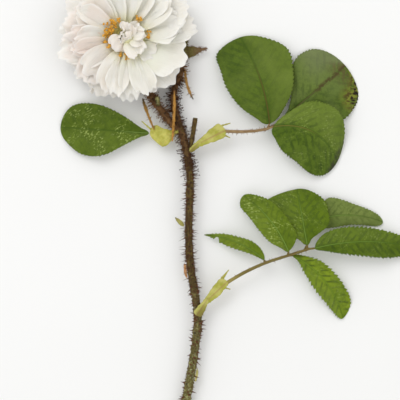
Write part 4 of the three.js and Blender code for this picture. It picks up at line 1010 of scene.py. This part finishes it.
def caneRadius(t):
    belowFork = canePlan["radius"] - canePlan["thinner"] * float(step(0.05, 0.3, t))
    belowFork = belowFork - canePlan["footTrim"] * (1 - float(step(0, 0.004, t)))
    radius = belowFork + (canePlan["aboveFork"] - belowFork) * float(step(0.7, 0.86, t))
    return radius + sum(more * math.exp(-((t - at) / 0.008) ** 2) for at, more in swellings)


def sideRadius(t):
    return 1.9 - 0.6 * t


def urnRadius(t):  # the calyx under the bloom
    return 1.7 + 1.6 * math.sin(math.pi * min(t * 1.1, 1)) + 2.7 * t ** 6


def barkBumps(seed):
    rng = np.random.default_rng(seed)
    waves = [(rng.uniform(60, 900), rng.integers(1, 9), rng.uniform(0, 6), rng.uniform(0.02, 0.055))
             for _ in range(14)]

    def bumps(share, turn):
        total = 0 * share * turn
        for along, around, phase, height in waves:
            total = total + height * np.sin(along * share + phase) * np.cos(around * turn + 2 * phase)
        return total * step(0, 0.01, share)
    return bumps


corners, sides = [], []
for name, solid in sorted(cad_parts.items()):
    if name != "cane":
        sides += [[i + len(corners) for i in side.vertices] for side in solid.data.polygons]
        corners += [corner.co.copy() for corner in solid.data.vertices]
neighbours = BVHTree.FromPolygons(corners, sides)
caneFoot = cadLow[1] / mm + 0.2  # no spike reaches past the cane's cut end


def clear(points, gap):  # whether each point is this far from the solids beside the cane
    return np.array([neighbours.find_nearest(Vector(p * mm), gap * mm)[0] is None for p in points])


# Spikes scattered along a stem. A spike that would touch a neighbour, or the table, is left out.
def addBristles(skin, rng, route, radiusAt, count, span, length, radius, shape, sides, **values):
    shares = rng.uniform(*span, count)
    turns = rng.uniform(0, 2 * math.pi, count)[:, None]
    ahead, out = route.outwards(shares, turns, 400)
    roots = route.at(shares) + out * np.array([bristlePlan["sunk"] * radiusAt(s) for s in shares])[:, None]
    lean = out + bristlePlan["scatter"] * rng.normal(size=out.shape)
    lean = lean + ahead * rng.uniform(-0.3, 0.2, count)[:, None]
    lengths = length[0] + (length[1] - length[0]) * rng.uniform(0, 1, count) ** 1.7  # mostly short
    tips = roots + unit(lean) * lengths[:, None]
    kept = np.minimum(tips[:, 2], roots[:, 2]) > bristlePlan["aboveTable"]
    kept &= (tips[:, 1] > caneFoot) & (roots[:, 1] > caneFoot + 0.8)
    kept[kept] = (clear(tips[kept], bristlePlan["fromNeighbour"])
                  & clear((roots + tips)[kept] / 2, bristlePlan["middleFrom"]))
    curl = ahead * rng.uniform(-0.25, 0.25, count)[:, None]
    addSpikes(skin, roots[kept], lean[kept], lengths[kept], rng.uniform(*radius, count)[kept], shape, sides,
              curl[kept], share=shares[kept], **values)


def caneFinish():
    shade = Finish("cane_bark", Roughness=0.75, Specular_IOR_Level=0.15)
    share, spike, stout = shade.field("share"), shade.field("spike"), shade.field("stout")
    where = shade.place()
    long = shade.cloud(shade.place((0.25, 1.0, 1.0)), 0.9, 4, 0.6)
    grain = shade.cloud(where, 1.6, 5, 0.7)
    specks = shade.cells(where, 0.55).rise(0.5, 0.28)
    blots = shade.cloud(where, 0.75, 3, 0.7).rise(0.6, 0.68)
    bark = shade.mix("96944e", "66652e", long.rise(0.35, 0.65))  # green at the foot, brown further up
    brown = shade.mix("6e5c30", "453420", long.rise(0.35, 0.65))
    bark = bark.to(brown, (share.rise(0.1, 0.5) + (grain - 0.5) * 0.7).clip())
    reddish = shade.mix("66492f", "906c44", grain.rise(0.4, 0.65))
    bark = bark.to(reddish, share.rise(0.66, 0.78))
    bark = bark.to("b2b292", grain.rise(0.47, 0.6) * (1 - share.rise(0.15, 0.5)) * 0.85)
    bark = bark.to("2a2018", (specks * grain.rise(0.42, 0.5)).clip() * 0.9)
    bark = bark.to("2c2418", blots * (1 - share.rise(0.3, 0.55)) * 0.85)
    bark = bark.to("c7bb7c", shade.field("cut") * 0.9)
    prickle = shade.mix("6a4630", "40281c", spike)
    prickle = prickle.to("84402e", stout * grain.rise(0.46, 0.62) * 0.4)
    prickle = prickle.to("936c46", share.rise(0.7, 0.9) * 0.7)
    knob = stout.rise(0.16, 0.12) * (1 - share.rise(0.5, 0.52)) * spike.rise(0.02, 0.1)
    colour = bark.to(prickle, spike.rise(0.02, 0.15))
    colour = colour.to(bark.to("4a3a22", spike.rise(0.3, 0.9) * 0.6), knob * (0.75 * stout.rise(0.02, 0.06)))
    height = grain + long * 0.8 - specks * 0.8
    return shade.done(Base_Color=colour, Normal=shade.bump(height, 0.4, 0.7))


skin = Skin("share", "flat", "cut", "spike", "stout")
rng = np.random.default_rng(8)
addStem(skin, caneRoute, caneRadius, 24, 420, barkBumps(1))
addStem(skin, sideRoute, sideRadius, 18, 90, barkBumps(2), 0.68, 0.9)
addStem(skin, stubRoute, lambda t: stubRadius, 16, 40, barkBumps(3), 0.5, 0.6)
addStem(skin, scarRoute, lambda t: scarRadius, 14, 10, None, 0.35, 0.2)
bristleSets = [  # route, its radius, count, span, lengths, radii, shape, sides, and how stout
    (caneRoute, caneRadius, 1500, (0.002, 0.5), (0.3, 1.0), (0.28, 0.6), knobShape, 5, 0.1),
    (caneRoute, caneRadius, 1100, (0.005, 0.4), (0.4, 1.3), (0.18, 0.34), bristleShape, 3, 0.3),
    (caneRoute, caneRadius, 250, (0.005, 0.42), (1.1, 3.6), (0.45, 0.85), thornShape, 6, 1.0),
    (caneRoute, caneRadius, 1200, (0.4, 0.7), (0.5, 1.9), (0.14, 0.27), bristleShape, 3, 0.2),
    (caneRoute, caneRadius, 300, (0.4, 0.72), (1.6, 4.4), (0.26, 0.46), thornShape, 5, 0.5),
    (caneRoute, caneRadius, 1500, (0.68, 0.99), (1.0, 3.0), (0.1, 0.17), bristleShape, 3, 0.0),
    (caneRoute, caneRadius, 600, (0.66, 0.98), (2.0, 4.2), (0.13, 0.2), glandShape, 4, 0.3),
    (sideRoute, sideRadius, 900, (0.06, 0.99), (1.0, 3.0), (0.1, 0.17), bristleShape, 3, 0.0),
    (sideRoute, sideRadius, 420, (0.1, 0.99), (2.0, 4.2), (0.13, 0.2), glandShape, 4, 0.3),
    (stubRoute, lambda t: stubRadius, 200, (0.25, 0.97), (0.4, 2.0), (0.1, 0.17), bristleShape, 3, 0.2),
]
for *bristles, stout in bristleSets:
    addBristles(skin, rng, *bristles, stout=stout)
skin.piece("cane_and_prickles", caneFinish(), "cane")
print("cut rose: cane made")


sepalWidths = [0.42, 0.5, 0.38, 0.18, 0.07]  # shares of a sepal's width


def sepalBlade(root, turn, length, width, drop):
    heading = np.array([math.cos(math.radians(turn)), math.sin(math.radians(turn)), 0])
    tip = np.array(root, float) + heading * length
    tip[2] = max(root[2] - drop, 0.35)
    half = [share * width for share in sepalWidths]
    return blade(root, tip, root[2] + 0.45 * (tip[2] - root[2]), half, fold=0.1, droop=0.2)


def mossFinish():
    shade = Finish("calyx_moss", Roughness=0.75, Specular_IOR_Level=0.15)
    spike = shade.field("spike")
    grain = shade.cloud(shade.place(), 1.1, 4, 0.65)
    colour = shade.mix("74703a", "5a4a2c", grain.rise(0.35, 0.65))
    colour = colour.to("7a5a48", shade.field("share").rise(0.3, 0.85) * 0.7 * shade.field("wing"))
    colour = colour.to("6b3f26", spike.rise(0.05, 0.5))
    colour = colour.to("8a6a3a", spike.rise(0.7, 1.0) * 0.6)
    return shade.done(Base_Color=colour, Normal=shade.bump(grain, 0.3, 0.7))


def addSepals(skin, sepals, ruffle, rows, fringe, hairs, hairLengths):
    for sepal in sepals:
        wing = sepalBlade(*sepal)
        addWing(skin, wing, ruffle, rows, fringe)
        addMoss(skin, wing, hairs, rng, hairLengths)


mossy = mossFinish()
mossyFields = ("share", "flat", "cut", "spike", "side", "under", "wing")
rng = np.random.default_rng(3)
skin = Skin(*mossyFields)
addStem(skin, calyxRoute, urnRadius, 24, 30)
sepals = []  # root, direction in degrees, length, width, and how far the tip hangs below the root
for turn in (-31, 41, 113, 185, 257):
    angle = math.radians(turn)
    root = (bloomX + 1.5 * math.cos(angle), bloomY + 1.5 * math.sin(angle), 10.4)
    sepals.append((root, turn, 23, 7.4, 10.6))
addSepals(skin, sepals, 0.2, 40, 0.8, 320, (0.5, 1.5))
addBristles(skin, rng, calyxRoute, urnRadius, 900, (0.02, 0.9), (0.6, 1.8), (0.06, 0.12), glandShape, 3)
skin.piece("calyx_with_moss", mossy, "bloom_calyx")

budFoot, budTip, budRadius = np.array([-28.6, 82.6, 4.6]), np.array([-29.0, 95.0, 5.2]), 3.9
budHeights, budWidths = [0, 0.18, 0.42, 0.7, 0.93, 1], [0.42, 0.8, 1, 0.8, 0.35, 0.0]
budSepals = [((-29.6, 88.0, 6.4), 11, 15.4, 6.6, 2.2), ((-28.4, 88.4, 5.6), 152, 14, 5.4, 2.6),
             ((-28.8, 89.6, 5.2), 78, 14, 5.0, 1.2)]


def budRadiusAt(t):
    return max(float(np.interp(t, budHeights, budWidths)), 0.02) * budRadius


skin = Skin(*mossyFields)
budRoute = Route([budFoot, (budFoot + budTip) / 2, budTip])
addStem(skin, budRoute, budRadiusAt, 24, 36)
addSepals(skin, budSepals, 0.15, 36, 0.7, 260, (0.4, 1.2))
addBristles(skin, rng, budRoute, budRadiusAt, 700, (0.02, 0.8), (0.5, 1.5), (0.06, 0.11), glandShape, 3)
skin.piece("side_bud_with_moss", mossy, "side_bud")
print("cut rose: calyx and bud made")


# Floor, light and camera

photo = {
    "middle": (-18.7, 7.4),  # what the middle of the picture shows
    "span": 220.0,  # how wide the picture is at the height of the leaves
    "height": 8.0, "distance": 2000.0, "sensor": 36.0,
}
studio = {
    "floorHalf": 1.5, "floorHeight": -0.0001, "sky": 0.84,  # in metres
    "key_light": ((-0.55, 0.75, 1.15), 0.9, 5.5),  # place, size and power
    "fill_light": ((0.9, -0.5, 1.2), 1.2, 1.5),
}


def floorFinish():
    shade = Finish("pale_floor", Roughness=0.9, Specular_IOR_Level=0.2)
    where = shade.node("ShaderNodeTexCoord", (), (), 3)
    return shade.done(Base_Color=shade.mix("f6f6f5", "f2f2f0", shade.cloud(where, 6.0, 2)))


def addToScene(name, data, place, target=None):
    obj = bpy.data.objects.new(name, data)
    obj.location = place
    if target:
        obj.rotation_euler = (Vector(target) - Vector(place)).to_track_quat("-Z", "Y").to_euler()
    bpy.context.scene.collection.objects.link(obj)
    return obj


half = studio["floorHalf"]
floorMesh = bpy.data.meshes.new("floor")
floorCorners = [(-half, -half, 0), (half, -half, 0), (half, half, 0), (-half, half, 0)]
floorMesh.from_pydata(floorCorners, [], [(0, 1, 2, 3)])
floorMesh.materials.append(floorFinish())
addToScene("floor", floorMesh, (0, 0, studio["floorHeight"]))

world = bpy.data.worlds.new("studio")
bpy.context.scene.world = world
world.use_nodes = True
world.node_tree.nodes["Background"].inputs["Color"].default_value = (1, 1, 1, 1)
world.node_tree.nodes["Background"].inputs["Strength"].default_value = studio["sky"]

for name in ("key_light", "fill_light"):
    light = bpy.data.lights.new(name, "AREA")
    light.shape = "DISK"
    place, light.size, light.energy = studio[name]
    addToScene(name, light, place, (0, 0, 0))

camera = bpy.data.cameras.new("camera")
camera.sensor_width = photo["sensor"]
camera.lens = photo["sensor"] * photo["distance"] / photo["span"]
camera.clip_start, camera.clip_end = 0.05, 20.0
middleX, middleY = photo["middle"]
bpy.context.scene.camera = addToScene(
    "camera", camera, (middleX * mm, middleY * mm, (photo["height"] + photo["distance"]) * mm))
bpy.context.scene.view_settings.view_transform = "Standard"

print("cut rose: done")
